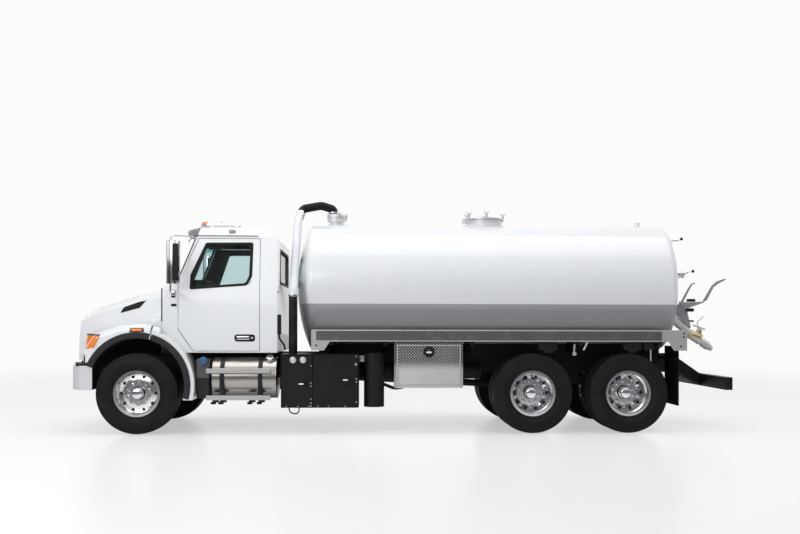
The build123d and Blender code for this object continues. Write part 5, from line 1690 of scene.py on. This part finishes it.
@dataclass
class HoodDress(Dress):
    """Vents, lamps, lips and seals of the hood and its fenders."""

    arch: Flat = (-3.640, 0.650)
    arch_radius: float = 0.632
    lip: float = 0.072
    lip_y: float = 1.170
    vent: tuple[Flat, ...] = ((-3.978, 1.610), (-3.696, 1.682), (-3.591, 1.804), (-3.927, 1.692))

    def lips(self) -> None:
        """Moulded lips round the wheel arches."""
        for side, name in SIDE_NAME.items():
            for node, start, end in (("hood", 158.0, 75.5), ("fender_extensions", 73.5, -15.5)):
                inner = arc(self.arch, self.arch_radius - 0.012, start, end)
                outer = arc(self.arch, self.arch_radius + self.lip, start, end)
                loop = upright(outer + inner[::-1], side * self.lip_y)
                blank = Blank().sheet(loop, (0.0, side * 0.045, 0.0), 0.010, 3)
                self.put(blank, f"arch_lip_{node}_{name}", Finish.LIP, node)

    def vents(self) -> None:
        """Wedge vents with a ridge on the hood's flanks."""
        for side, name in SIDE_NAME.items():
            outline = rounded(self.vent, 0.010, 3)
            self.yard.patch("hood", outline, side, f"hood_vent_{name}", Finish.PLASTIC, 0.004)
            ridge = rounded([(-3.930, 1.640), (-3.700, 1.700), (-3.690, 1.712), (-3.925, 1.653)], 0.004, 2)
            self.yard.patch("hood", ridge, side, f"hood_vent_ridge_{name}", Finish.IRON, 0.010)

    def lamps(self) -> None:
        """Side markers, turn lamps and the dark line above each of them."""
        for side, name in SIDE_NAME.items():
            base = rounded([(-3.735, 1.356), (-3.538, 1.356), (-3.552, 1.408), (-3.715, 1.408)], 0.012)
            self.yard.patch("hood", base, side, f"side_marker_base_{name}", Finish.PLASTIC, 0.010, 0.003)
            lens = rounded([(-3.712, 1.366), (-3.560, 1.366), (-3.568, 1.400), (-3.702, 1.400)], 0.010)
            self.yard.patch("hood", lens, side, f"side_marker_{name}", Finish.AMBER, 0.020, 0.004)
            turn = rounded([(-4.268, 1.303), (-4.120, 1.304), (-4.191, 1.151), (-4.300, 1.151)], 0.006, 3)
            self.yard.patch("hood", turn, side, f"turn_lamp_{name}", Finish.AMBER, 0.022, also=("headlamps",),
                            cell=0.010, lean=-0.29)
            brow = rounded([(-4.281, 1.310), (-4.118, 1.313), (-4.118, 1.326), (-4.281, 1.323)], 0.003, 2)
            self.yard.patch("hood", brow, side, f"lamp_brow_{name}", Finish.PLASTIC, 0.022,
                            also=("headlamps",), cell=0.010, lean=-0.29)

    def seal(self) -> None:
        """Black seal that closes the gap between hood and cowl."""
        run = -3.356
        flank = [self.yard.touch("hood", (run, -3.0, z), (0.0, 1.0, 0.0)) for z in (1.50, 1.58, 1.68, 1.78)]
        aside = (-0.84, -0.75, -0.6, -0.4, -0.2)
        crown = [self.yard.touch("hood", (run, y, 4.0), (0.0, 0.0, -1.0)) for y in aside]
        left = [(p.y + 0.003, p.z) for p in flank if p.y > -1.15] + [(p.y, p.z - 0.003) for p in crown]
        outline = left + [(-y, z) for y, z in reversed(left)]
        outer, inner = grown(outline, 0.002), grown(outline, -0.040)
        loops = [[(-3.3495, y, z) for y, z in loop] for loop in (outer, inner)]
        blank = Blank().band(*loops, (0.011, 0.0, 0.0))
        self.put(blank, "cowl_seal", Finish.HOSE)

    def seams(self) -> None:
        """Dark joint lines between hood and cowl."""
        for side, name in SIDE_NAME.items():
            start, way = side * RAY_START, (0.0, -side, 0.0)
            cowl = [self.yard.touch("cab_shell", (-3.330, start, z), way) for z in (1.94, 1.8, 1.65, 1.5)]
            route = [(-3.345, point.y, point.z) for point in cowl if abs(point.y) < RAY_MISS]
            self.yard.place(bar_mesh(f"cowl_seam_{name}", route, 0.008), Finish.HOSE, CHASSIS)

    def liners(self) -> None:
        """Dark liners and splash panels inside the front wheel arches, and the corners beside the cowl."""
        for side, name in SIDE_NAME.items():
            for node, start, end in (("hood", 186.0, 76.0), ("fender_extensions", 73.0, -14.0)):
                outer = arc(self.arch, self.arch_radius - 0.002, start, end, 30)
                inner = arc(self.arch, self.arch_radius - 0.008, end, start, 30)
                blank = Blank().sheet(upright(outer + inner, side * 0.700), (0.0, side * 0.465, 0.0))
                self.put(blank, f"arch_liner_{node}_{name}", Finish.LINER, node)
            splash = [(-3.338, 1.080), (-3.190, 1.080), (-3.260, 1.165), (-3.338, 1.215)]
            self.yard.patch("cab_shell", splash, side, f"splash_panel_{name}", Finish.LINER, 0.004)
            cheek = Blank().flank(side, (-3.500, 0.945, 1.360), (-3.352, 1.000, 1.545), 0.008)
            self.put(cheek, f"cowl_cheek_{name}", Finish.BODY, "hood")

    def front(self) -> None:
        """Brackets between bumper and hood, and the radiator behind the grille."""
        blank = Blank()
        for side in SIDES:
            blank.flank(side, (-4.440, 0.980, 0.902), (-4.270, 1.165, 0.938), 0.006)
        self.put(blank, "bumper_brackets", Finish.BLACK, "bumper")
        core = Blank().box((-4.545, -0.41, 1.02), (-4.520, 0.41, 1.49), 0.003)
        self.put(core, "radiator_screen", Finish.IRON, "hood")

    def build(self) -> None:
        """Builds everything on the hood."""
        self.lips()
        self.vents()
        self.lamps()
        self.seal()
        self.seams()
        self.liners()
        self.front()


@dataclass
class Cabin(Dress):
    """Padded seats, dash and instrument hood inside the cab."""

    seat_y: float = 0.48
    half: float = 0.243
    voxel: float = 0.016
    pressure: float = 4.0
    frames: int = 16
    cap: float = 0.016
    channel: float = 0.006
    channel_y: float = 0.105
    channel_half: float = 0.011
    fill: float = 0.85

    @staticmethod
    def _settled(piece: Object) -> None:
        """Puts a piece's evaluated shape in place of its mesh and modifiers."""
        graph = bpy.context.evaluated_depsgraph_get()
        mesh = bpy.data.meshes.new_from_object(piece.evaluated_get(graph))
        piece.modifiers.clear()
        piece.data = mesh

    def _swollen(self, mesh: Mesh) -> Mesh:
        """Swells a pad under pressure, no further than the cap.

        Args:
            mesh: The pad before it is stuffed.

        Returns:
            The stuffed pad.
        """
        scene = bpy.context.scene
        piece = bpy.data.objects.new(f"{mesh.name}_loose", mesh)
        scene.collection.objects.link(piece)
        grid = piece.modifiers.new("grid", "REMESH")
        grid.mode = "VOXEL"
        grid.voxel_size = self.voxel
        self._settled(piece)
        rest = [vertex.co.copy() for vertex in piece.data.vertices]
        cloth = piece.modifiers.new("stuffing", "CLOTH")
        cloth.settings.use_pressure = True
        cloth.settings.uniform_pressure_force = self.pressure
        cloth.settings.effector_weights.gravity = 0.0
        cloth.point_cache.frame_start = 1
        cloth.point_cache.frame_end = self.frames
        for frame in range(1, self.frames + 1):
            scene.frame_set(frame)
        self._settled(piece)
        scene.frame_set(1)
        for vertex, start in zip(piece.data.vertices, rest):
            move = vertex.co - start
            if move.length > self.cap:
                vertex.co = start + move.normalized() * self.cap
        stuffed = piece.data
        bpy.data.objects.remove(piece)
        return stuffed

    def _sewn(self, mesh: Mesh, middle: float) -> None:
        """Sinks two lengthwise channels into a pad."""
        normals = [vertex.normal.copy() for vertex in mesh.vertices]
        for vertex, normal in zip(mesh.vertices, normals):
            aside = abs(abs(vertex.co.y - middle) - self.channel_y)
            vertex.co -= normal * self.channel * math.exp(-((aside / self.channel_half) ** 2))

    def seats(self) -> None:
        """Two seats with stuffed cushions and backs."""
        for side, name in SIDE_NAME.items():
            middle = side * self.seat_y
            low, high = middle - self.half, middle + self.half
            cushion = Blank().box((-2.570, low, 1.432), (-2.095, high, 1.540), 0.034, 3)
            back = Blank().box((-0.036, low, 0.035), (0.036, high, 0.615), 0.030, 3)
            lean = Matrix.Translation((-2.1275, 0.0, 1.535)) @ Matrix.Shear("XY", 4, (0.2287, 0.0))
            bmesh.ops.transform(back.bm, matrix=lean, verts=back.bm.verts[:])
            for pad in (cushion.mesh(f"seat_cushion_{name}"), back.mesh(f"seat_back_{name}")):
                label = pad.name
                stuffed = self._swollen(pad)
                self._sewn(stuffed, middle)
                stuffed.name = label
                stuffed.shade_smooth()
                piece = self.yard.place(stuffed, Finish.SEAT, self.yard.body_of("cab_interior"))

    def fittings(self) -> None:
        """Dash, pedestals, steering wheel and instrument hood."""
        self.yard.soften(
            "cab_interior", Finish.CABIN, 0.006, name="dash_and_pedestals",
            keep=lambda p: p.z < 1.412 or p.x < -2.60 or (p.z > 1.75 and p.x < -2.45),
        )
        hoods = Blank().box((-3.010, -0.74, 1.880), (-2.840, -0.22, 2.070), 0.030, 3)
        hoods.box((-3.040, 0.08, 1.880), (-2.880, 0.58, 2.015), 0.025, 3)
        hoods.box((-2.900, -0.14, 1.560), (-2.790, 0.14, 1.900), 0.015)
        self.put(hoods, "instrument_hoods", Finish.CABIN, "cab_interior")

    def build(self) -> None:
        """Builds the cabin."""
        self.fittings()
        self.seats()


# ---- wheel fittings
@dataclass
class WheelDress(Dress):
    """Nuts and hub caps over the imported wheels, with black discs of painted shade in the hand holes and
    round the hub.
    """

    count: int = 10
    nut_circle: float = 0.143
    hole_circle: float = 0.225
    hole_radius: float = 0.0235
    nut_radius: float = 0.0215
    # wheel, its X and Z, and how far out its disc's face, its studs' tips and its hub stand
    sets: tuple[tuple[str, float, float, float, float, float], ...] = (
        ("front", -3.642, 0.540, 1.0825, 1.114, 1.1675),
        ("forward", 1.620, 0.538, 0.9365, 0.9765, 1.0625),
        ("rearward", 2.920, 0.538, 0.9365, 0.9765, 1.0625),
    )

    def nuts(self, blank: Blank, x: float, z: float, side: int, face: float, tip: float) -> None:
        """Adds ten flanged nuts to a blank."""
        turn = math.pi / self.count
        at = (x + self.nut_circle * math.cos(turn), z + self.nut_circle * math.sin(turn))

        def nut(target: Blank) -> None:
            """One nut on its stud."""
            for start, end, radius, sides in ((face - 0.004, face + 0.007, 1.25 * self.nut_radius, 20),
                                              (face, tip + 0.004, self.nut_radius, 6),
                                              (tip, tip + 0.013, 0.5 * self.nut_radius, 12)):
                target.rod((at[0], side * start, at[1]), (at[0], side * end, at[1]), radius, sides=sides)

        blank.repeat(self.count, Axis.Y, (x, 0.0, z), nut)

    def holes(self, blank: Blank, x: float, z: float, side: int, node: str) -> None:
        """Adds ten black discs to a blank, painted shade in the mouths of the hand holes."""
        turn = math.pi / self.count
        probe = (x + self.hole_circle * math.cos(turn), side * 2.0, z + self.hole_circle * math.sin(turn))
        skin = abs(self.yard.touch(node, probe, (0.0, -side, 0.0)).y)

        def hole(target: Blank) -> None:
            """One black disc of painted shade in a hole's mouth."""
            target.rod((x + self.hole_circle, side * (skin - 0.006), z),
                       (x + self.hole_circle, side * (skin + 0.0012), z), self.hole_radius, sides=24)

        blank.repeat(self.count, Axis.Y, (x, 0.0, z), hole)

    def cap(self, blank: Blank, x: float, z: float, side: int, tip: float) -> None:
        """Adds the domed hub cap to a blank."""
        dome = [(0.0, 0.016), (0.030, 0.0145), (0.055, 0.009), (0.068, 0.002), (0.073, -0.006), (0.0, -0.006)]
        blank.turned([(r, side * h) for r, h in dome], Axis.Y, (x, side * tip, z), steps=48)

    def collar(self, blank: Blank, x: float, z: float, side: int, face: float) -> None:
        """Adds a black ring round the hub to a blank, painted shade for the gap there."""
        blank.ring(0.0845, 0.094, 0.0, side * 0.002, Axis.Y, (x, side * face, z))

    def build(self) -> None:
        """Builds the fittings of all six wheels."""
        for place, x, z, face, tip, hub in self.sets:
            for side, name in SIDE_NAME.items():
                node = f"{place}_wheel_{name}"
                bright, dark = Blank(), Blank()
                self.nuts(bright, x, z, side, face, tip)
                self.cap(bright, x, z, side, hub)
                self.put(bright, f"{node}_nuts", Finish.CHROME, node)
                # black discs and ring of painted shade in the hand holes and round the hub
                self.holes(dark, x, z, side, node)
                self.collar(dark, x, z, side, face)
                self.put(dark, f"{node}_holes", Finish.IRON, node)


# ---- plumbing
@dataclass
class Plumbing(Dress):
    """Clamps, bands, swing bolts and seams of the vessel and its pipes."""

    radius: float = 0.915
    middle: float = 2.0
    pipe: Flat = (-1.61, -0.95)
    pipe_radius: float = 0.0585
    shut_off: Flat = (-1.06, 0.0)
    manway_x: float = 1.100
    courses: tuple[float, ...] = (-1.350, -0.110, 1.130, 2.370, 3.610)

    def seams(self) -> None:
        """Weld beads where the heads and the courses of the shell meet."""
        blank = Blank()
        r = self.radius
        for x in self.courses:
            bead = [(r - 0.004, -0.008), (r + 0.0008, -0.006), (r + 0.0020, 0.0), (r + 0.0008, 0.006),
                    (r - 0.004, 0.008)]
            blank.turned(bead, Axis.X, (x, 0.0, self.middle), steps=144, ring=True)
        self.put(blank, "weld_beads", Finish.VESSEL)

    def bands(self) -> None:
        """Bright clamp bands on the riser, its mouth and the hose."""
        x, y = self.pipe
        r = self.pipe_radius
        blank = Blank()
        blank.rod((x, y, 1.838), (x, y, 1.868), r + 0.009, sides=48, bevel=0.002)
        blank.box((x - 0.020, y - r - 0.030, 1.842), (x + 0.020, y - r + 0.002, 1.864), 0.003)
        knee, mouth = Vector((-1.61, -0.12, 2.96)), Vector((-1.57, -0.02, 3.08))
        way = (mouth - knee).normalized()
        for back in (0.020, 0.075):
            at = mouth - way * back
            blank.rod(at - way * 0.014, at + way * 0.014, r + 0.007, sides=48, bevel=0.002)
        sx, sy = self.shut_off
        blank.rod((sx - 0.04, sy, 3.070), (sx - 0.04, sy, 3.098), 0.068, sides=48, bevel=0.002)
        self.put(blank, "clamp_bands", Finish.CHROME)

    def shut_off_bolts(self) -> None:
        """Swing bolts and rims of the shut-off."""
        x, y = self.shut_off
        blank = Blank()
        for z in (2.985, 3.012):
            blank.ring(0.118, 0.138, z, z + 0.012, Axis.Z, (x, y, 0.0), 64)

        def bolt(target: Blank) -> None:
            """One swing bolt with its wing nut."""
            target.rod((x + 0.145, y, 2.965), (x + 0.145, y, 3.085), 0.0075, sides=10)
            target.rod((x + 0.145, y, 3.024), (x + 0.145, y, 3.050), 0.016, sides=12, bevel=0.002)
            for way in SIDES:
                target.rod((x + 0.145, y, 3.046), (x + 0.145, y + way * 0.030, 3.078), 0.006, sides=8)

        blank.repeat(5, Axis.Z, (x, y, 0.0), bolt)
        self.put(blank, "shut_off_bolts", Finish.CASTING)

    def manway_rims(self) -> None:
        """Raised rims on the manway's neck and the handle on its lid."""
        blank = Blank()
        x = self.manway_x
        for z in (2.940, 2.972):
            blank.ring(0.240, 0.262, z, z + 0.007, Axis.Z, (x, 0.0, 0.0), 72)
        self.put(blank, "manway_neck_rims", Finish.CASTING, "manway_neck")
        lid = Blank().turned([(0.0, 3.000), (0.200, 3.000), (0.215, 3.008), (0.205, 3.016), (0.120, 3.021),
                              (0.0, 3.023)], Axis.Z, (x, 0.0, 0.0), 72)
        for foot in (x - 0.06, x + 0.06):
            lid.rod((foot, 0.0, 3.018), (foot, 0.0, 3.045), 0.007, sides=10)
        lid.rod((x - 0.067, 0.0, 3.045), (x + 0.067, 0.0, 3.045), 0.007, sides=10)
        self.put(lid, "manway_lid_crown", Finish.CASTING, "manway_lid")

    def rear_head(self) -> None:
        """Grips, rings, brass and gauge knobs on the rear head."""
        grips = Blank()
        for x0, x1, y, z, r in ((4.100, 4.2245, -0.062, 1.829, 0.0215),
                                (4.082, 4.2025, -0.060, 1.687, 0.0255),
                                (4.132, 4.2165, -0.030, 1.524, 0.0125)):
            grips.rod((x0, y, z), (x1, y, z), r, sides=24, bevel=0.004)
        self.put(grips, "lever_grips", Finish.PLASTIC)
        rings = Blank()
        for r0, r1 in ((0.062, 0.079), (0.028, 0.042)):
            rings.ring(r0, r1, -0.004, 0.004, Axis.Y, (3.989, -0.077, 1.694))
        for x in (3.985, 4.060):
            rings.ring(0.045, 0.058, -0.012, 0.012, Axis.X, (x, 0.0, 2.215), 40)
        self.put(rings, "valve_rings", Finish.CHROME)
        tip, way = Vector((4.170, 0.0, 1.331)), Vector((0.166, 0.0, -0.073)).normalized()
        brass = Blank()
        for start, length, r, sides in ((-0.015, 0.030, 0.074, 8), (0.020, 0.120, 0.0685, 40),
                                        (0.145, 0.030, 0.074, 8)):
            brass.rod(tip + way * start, tip + way * (start + length), r, sides=sides,
                      bevel=0.003)
        brass.rod((4.300, 0.0, 1.300), (4.313, 0.0, 1.400), 0.036, sides=32, bevel=0.003)
        self.put(brass, "drain_valve_brass", Finish.BRASS)
        balls = Blank().ball((4.039, 0.0, 2.740), 0.0225).ball((4.213, 0.0, 2.262), 0.0225)
        self.put(balls, "gauge_knobs", Finish.PLASTIC)

    def build(self) -> None:
        """Builds the plumbing's fittings."""
        self.seams()
        self.bands()
        self.shut_off_bolts()
        self.manway_rims()
        self.rear_head()


# ---- boxes, trays and steps
@dataclass
class LowerDress(Dress):
    """Fittings of the trays, cabinet, toolbox, fuel tank and steps."""

    tray_y: float = 1.2203
    latch: Flat = (0.215, 1.100)
    fuel_axis: Flat = (-0.900, 0.743)

    def trays(self) -> None:
        """Grey inserts, clamps and bolt holes of the hose trays."""
        insert = rounded(oblong(-1.286, 3.365, 1.247, 1.377), 0.006, 2)
        inner = grown(insert, -0.002)
        for side, name in SIDE_NAME.items():
            panel = Blank().sheet(upright(insert, side * (self.tray_y - 0.003)), (0.0, side * 0.0045, 0.0))
            self.put(panel, f"tray_insert_{name}", Finish.TRAY_INSERT)
            lips = Blank().band(upright(grown(insert, 0.006), side * (self.tray_y - 0.002)),
                                upright(inner, side * (self.tray_y - 0.002)), (0.0, side * 0.009, 0.0), 0.002)
            self.put(lips, f"tray_lip_{name}", Finish.ALUMINIUM)
            dark = Blank()
            for x, z in ((-1.283, 1.183), (3.625, 1.174), (3.668, 1.300), (3.668, 1.345)):
                dark.rod((x, side * (self.tray_y - 0.004), z), (x, side * (self.tray_y + 0.0015), z), 0.013,
                         sides=20)
            for x0, x1 in ((1.70, 1.95), (2.85, 3.10)):
                dark.flank(side, (x0, 1.085, 1.120), (x1, 1.195, 1.226), 0.010)
                dark.flank(side, (x0 + 0.06, 1.085, 1.085), (x1 - 0.06, 1.195, 1.125), 0.006)
            dark.flank(side, (3.130, 1.085, 1.120), (3.260, 1.195, 1.226), 0.006)
            self.put(dark, f"tray_clamps_{name}", Finish.BLACK)
            light = Blank()
            near, far = sorted((side * 1.150, side * 1.205))
            light.rod((2.180, near, 1.073), (2.180, far, 1.073), 0.026, sides=24, bevel=0.003)
            light.rod((2.180, far, 1.073), (2.180, far - 0.05, 1.200), 0.012, sides=12)
            light.rod((3.220, near + 0.02, 1.130), (3.225, near + 0.02, 0.930), 0.011, sides=12)
            light.rod((2.357, side * 1.19, 1.229), (2.303, side * 1.19, 1.121), 0.014, sides=12)
            self.put(light, f"tray_fittings_{name}", Finish.ALUMINIUM)

    def _on_face(self, nodes: Sequence[str], x: float, z: float) -> tuple[str, float]:
        """Finds what shows at a place on the driver's side.

        Args:
            nodes: Nodes that may show there.
            x: The place along the truck.
            z: Its height.

        Returns:
            The node that shows, and how far out it stands.
        """
        hits = [(-self.yard.touch(node, (x, -RAY_START, z), Axis.Y.value).y, node) for node in nodes]
        depth, node = max((hit for hit in hits if hit[0] < RAY_MISS), default=(FLANK, nodes[0]))
        return node, depth

    def air_tanks(self) -> None:
        """Air tanks that hang beside the frame."""
        blank = Blank()
        for x0, x1, radius in ((-0.860, -0.180, 0.110), (0.420, 1.000, 0.095)):
            blank.rod((x0, -0.600, 0.800), (x1, -0.600, 0.800), radius, sides=32, bevel=0.030)
        self.put(blank, "air_tanks", Finish.BLACK)

    def cabinet_fittings(self) -> None:
        """Discs, latches and bolts of the pump cabinet."""
        faces = ("pump_cabinet", "cabinet_door_front", "cabinet_door_rear")
        groups: dict[tuple[str, Finish], Blank] = {}

        def stand(x: float, z: float, finish: Finish, radius: float, out: float, sides: int = 24) -> None:
            """One round fitting on whatever shows there."""
            node, depth = self._on_face(faces, x, z)
            blank = groups.setdefault((node, finish), Blank())
            blank.rod((x, -depth + 0.003, z), (x, -depth - out, z), radius, sides=sides,
                      bevel=min(0.003, out / 3))

        for x in (-1.590, -1.458):
            stand(x, 0.988, Finish.ZINC, 0.044, 0.010, 40)
            stand(x, 0.988, Finish.CASTING, 0.030, 0.016, 40)
        for x, z in ((-1.477, 0.669), (-0.895, 0.722)):
            stand(x, z, Finish.PLASTIC, 0.040, 0.008, 32)
            stand(x, z, Finish.CHROME, 0.013, 0.028)
            node, depth = self._on_face(faces, x, z)
            groups[(node, Finish.CHROME)].rod((x - 0.034, -depth - 0.026, z), (x + 0.034, -depth - 0.026, z),
                                              0.009, sides=12, bevel=0.002)
        for x, heights in ((-1.352, (0.909, 0.682, 0.642, 0.469, 0.416, 0.376)),
                           (-0.750, (1.035, 0.736, 0.696, 0.429)), (-1.735, (1.035, 0.70, 0.38))):
            for z in heights:
                stand(x, z, Finish.ZINC, 0.009, 0.006, 12)
        for x in (-1.68, -1.52, -1.38, -1.26, -1.12, -0.90):
            stand(x, 0.372, Finish.ZINC, 0.008, 0.006, 12)
        stand(-0.756, 0.931, Finish.ZINC, 0.019, 0.005, 4)
        for (node, finish), blank in groups.items():
            self.put(blank, f"{node}_{finish.name.lower()}_fittings", finish, node)

    def cabinet_pressings(self) -> None:
        """Pressed border on each of the cabinet's doors."""
        for x0, x1, node in ((-1.735, -1.340, "cabinet_door_front"), (-1.310, -0.735, "cabinet_door_rear")):
            depth = self._on_face((node,), (x0 + x1) / 2, 0.60)[1]
            panel = rounded(oblong(x0 + 0.03, x1 - 0.03, 0.420, 0.930), 0.02)
            rib = Blank().band(upright(panel, -depth + 0.002), upright(grown(panel, -0.012), -depth + 0.002),
                               (0.0, -0.006, 0.0), 0.002)
            self.put(rib, f"{node}_pressing", Finish.BLACK, node)

    def cabinet_drain(self) -> None:
        """Bracket of the separator and the looped drain under the cabinet."""
        bracket = Blank().box((-0.711, -1.02, 0.958), (-0.637, -0.90, 1.038), 0.004)
        self.put(bracket, "separator_bracket", Finish.ALUMINIUM)
        loop = hose_mesh("drain_loop", [(-1.650, -1.10, 0.365), (-1.650, -1.10, 0.320),
                                        (-1.625, -1.10, 0.275), (-1.557, -1.10, 0.262),
                                        (-1.520, -1.10, 0.285), (-1.515, -1.10, 0.318)],
                         0.0085)
        self.yard.place(loop, Finish.HOSE, CHASSIS)
        tip = Blank().rod((-1.515, -1.10, 0.314), (-1.515, -1.10, 0.358), 0.013, sides=16, bevel=0.002)
        self.put(tip, "drain_tip", Finish.BRASS)

    def toolbox(self) -> None:
        """Latch and rolled border of the toolbox door, and the hose before the toolbox."""
        node = "toolbox_door"
        low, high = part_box(node)
        face = self._on_face((node,), *self.latch)[1]
        frame = oblong(low.x + 0.014, high.x - 0.014, low.z + 0.020, high.z - 0.014)
        outline = rounded(frame, 0.012, 4)
        border = Blank().band(upright(outline, -face + 0.002), upright(grown(outline, -0.016), -face + 0.002),
                              (0.0, -0.008, 0.0), 0.003)
        self.put(border, "toolbox_border", Finish.ALUMINIUM, node)
        x, z = self.latch
        cup = Blank().rod((x, -face + 0.003, z), (x, -face - 0.007, z), 0.074, sides=48, bevel=0.003)
        self.put(cup, "toolbox_latch_cup", Finish.PLASTIC, node)
        grip = Blank().rod((x, -face, z), (x, -face - 0.020, z), 0.012, sides=20)
        y, low_z = -face - 0.020, z - 0.010
        grip.rod((x - 0.036, y, low_z), (x + 0.036, y, low_z), 0.011, sides=14, bevel=0.003)
        grip.rod((x, -face - 0.016, low_z), (x, -face - 0.016, z + 0.030), 0.010, sides=14)
        self.put(grip, "toolbox_latch", Finish.CHROME, node)
        hose = hose_mesh("suction_hose", [(-0.400, -0.90, 0.655), (-0.360, -0.90, 0.640),
                                          (-0.270, -0.90, 0.600), (-0.200, -0.88, 0.590),
                                          (-0.120, -0.80, 0.600)], 0.022, 4)
        self.yard.place(hose, Finish.HOSE, CHASSIS)

    def fuel(self) -> None:
        """Filler cap and end rims of the fuel tank, hooks under the steps, and the additive tank's cap."""
        lean = Vector((0.0, -0.50, 0.866))
        root = Vector((-1.908, *self.fuel_axis)) + lean * 0.262
        cap = Blank().rod(root, root + lean * 0.030, 0.044, sides=40, bevel=0.002)
        cap.rod(root + lean * 0.026, root + lean * 0.064, 0.053, sides=20, bevel=0.006)
        cap.rod(root + lean * 0.060, root + lean * 0.072, 0.016, sides=20, bevel=0.003)
        self.put(cap, "fuel_cap", Finish.CHROME)
        plate = Blank()
        for x in (-2.655, -1.824):
            plate.ring(0.262, 0.281, -0.006, 0.006, Axis.X, (x, *self.fuel_axis), 96)
        self.put(plate, "fuel_tank_rims", Finish.BRUSHED)
        hooks = Blank()
        for x in (-2.615, -2.515, -2.135, -2.010):
            hooks.box((x - 0.035, -1.190, 0.425), (x + 0.045, -1.110, 0.462), 0.006)
            hooks.box((x - 0.060, -1.185, 0.398), (x + 0.005, -1.115, 0.430), 0.008)
        self.put(hooks, "step_hooks", Finish.BLACK)
        cap = Blank().rod((-2.776, -1.120, 0.975), (-2.776, -1.172, 0.975), 0.0535, sides=24, bevel=0.006)
        self.put(cap, "additive_cap", Finish.BLUE_CAP)

    def build(self) -> None:
        """Builds the lower fittings."""
        self.trays()
        self.air_tanks()
        self.cabinet_fittings()
        self.cabinet_pressings()
        self.cabinet_drain()
        self.toolbox()
        self.fuel()


# ---- tail
@dataclass
class TailDress(Dress):
    """Lamps, plate and end caps at the rear."""

    face: float = 4.383
    middle: float = 0.662

    def build(self) -> None:
        """Builds the tail."""
        rims, red, caps = Blank(), Blank(), Blank()
        for side in SIDES:
            for y in (0.62, 0.78, 0.94):
                rims.turned([(0.0, 0.0), (0.062, 0.0), (0.062, 0.006), (0.0, 0.006)], Axis.X,
                            (self.face - 0.002, side * y, self.middle), 40)
                red.turned([(0.0, 0.016), (0.030, 0.014), (0.048, 0.008), (0.052, 0.0), (0.0, 0.0)], Axis.X,
                           (self.face + 0.002, side * y, self.middle), 40)
            caps.flank(side, (self.face - 0.099, 1.092, 0.579), (self.face - 0.003, 1.104, 0.745), 0.004)
        self.put(rims, "tail_lamp_rims", Finish.BLACK)
        self.put(red, "tail_lamps", Finish.RED)
        self.put(caps, "guard_caps", Finish.BLACK)
        plate = Blank().box((self.face - 0.002, -0.155, 0.590), (self.face + 0.004, 0.155, 0.735), 0.004)
        self.put(plate, "rear_plate", Finish.TRIM_WHITE)


# ---- carried nodes
# finish and width of the softened edges of each node that gets a softened copy
SOFTENED: dict[str, tuple[Finish, float]] = {
    "frame": (Finish.FRAME, 0.003),
    "front_axle": (Finish.IRON, 0.004),
    "rear_axles": (Finish.IRON, 0.003),
    "powertrain": (Finish.IRON, 0.006),
    "knuckle_left": (Finish.IRON, 0.004),
    "knuckle_right": (Finish.IRON, 0.004),
    "bumper": (Finish.BUMPER, 0.008),
    "cab_shell": (Finish.CAB, 0.006),
    "door_left": (Finish.CAB, 0.005),
    "door_right": (Finish.CAB, 0.005),
    "hood": (Finish.BODY, 0.006),
    "fender_extensions": (Finish.BODY, 0.008),
    "grille": (Finish.CHROME, 0.003),
    "tank_cradle": (Finish.BLACK, 0.003),
    "hose_trays": (Finish.ALUMINIUM, 0.003),
    "tank_fittings": (Finish.BODY, 0.003),
    "level_gauges": (Finish.CASTING, 0.002),
    "manway_neck": (Finish.BODY, 0.002),
    "manway_lid": (Finish.CASTING, 0.002),
    "vacuum_hose": (Finish.HOSE, 0.0),
    "vacuum_pipe": (Finish.RISER, 0.0),
    "discharge_valve": (Finish.CASTING, 0.002),
    "valve_levers": (Finish.ZINC, 0.0015),
    "underrun_guard": (Finish.BLACK, 0.006),
    "mudguards": (Finish.FLAP, 0.003),
    "pump_cabinet": (Finish.BLACK, 0.0),
    "cabinet_door_front": (Finish.BLACK, 0.0),
    "cabinet_door_rear": (Finish.BLACK, 0.0),
    "oil_separator": (Finish.BLACK, 0.006),
    "toolbox": (Finish.TREADPLATE, 0.003),
    "toolbox_door": (Finish.TREADPLATE, 0.003),
    "fuel_tank": (Finish.BRUSHED, 0.006),
    "additive_tank": (Finish.ADDITIVE, 0.015),
    "cab_steps": (Finish.STEP_IRON, 0.006),
    "right_side_boxes": (Finish.BLACK, 0.004),
}
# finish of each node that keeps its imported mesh
PLAIN: dict[str, Finish] = {
    "cab_glass": Finish.GLASS,
    "door_glass_left": Finish.GLASS,
    "door_glass_right": Finish.GLASS,
    "headlamps": Finish.HEAD_LENS,
}


def main() -> None:
    """Builds the truck and its studio."""
    logging.basicConfig(level=logging.INFO, format="%(message)s")
    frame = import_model()
    yard = Yard(frame)
    Studio().build()
    for node, (finish, edge) in SOFTENED.items():
        yard.soften(node, finish, edge)
    for node, finish in PLAIN.items():
        yard.dress(node, finish)
    RunningGear(yard).build()
    TankDress(yard).build()
    CabDress(yard).build()
    HoodDress(yard).build()
    Cabin(yard).build()
    WheelDress(yard).build()
    Plumbing(yard).build()
    LowerDress(yard).build()
    TailDress(yard).build()
    LOG.info("%d pieces placed", yard.count)


if __name__ == "__main__":
    main()
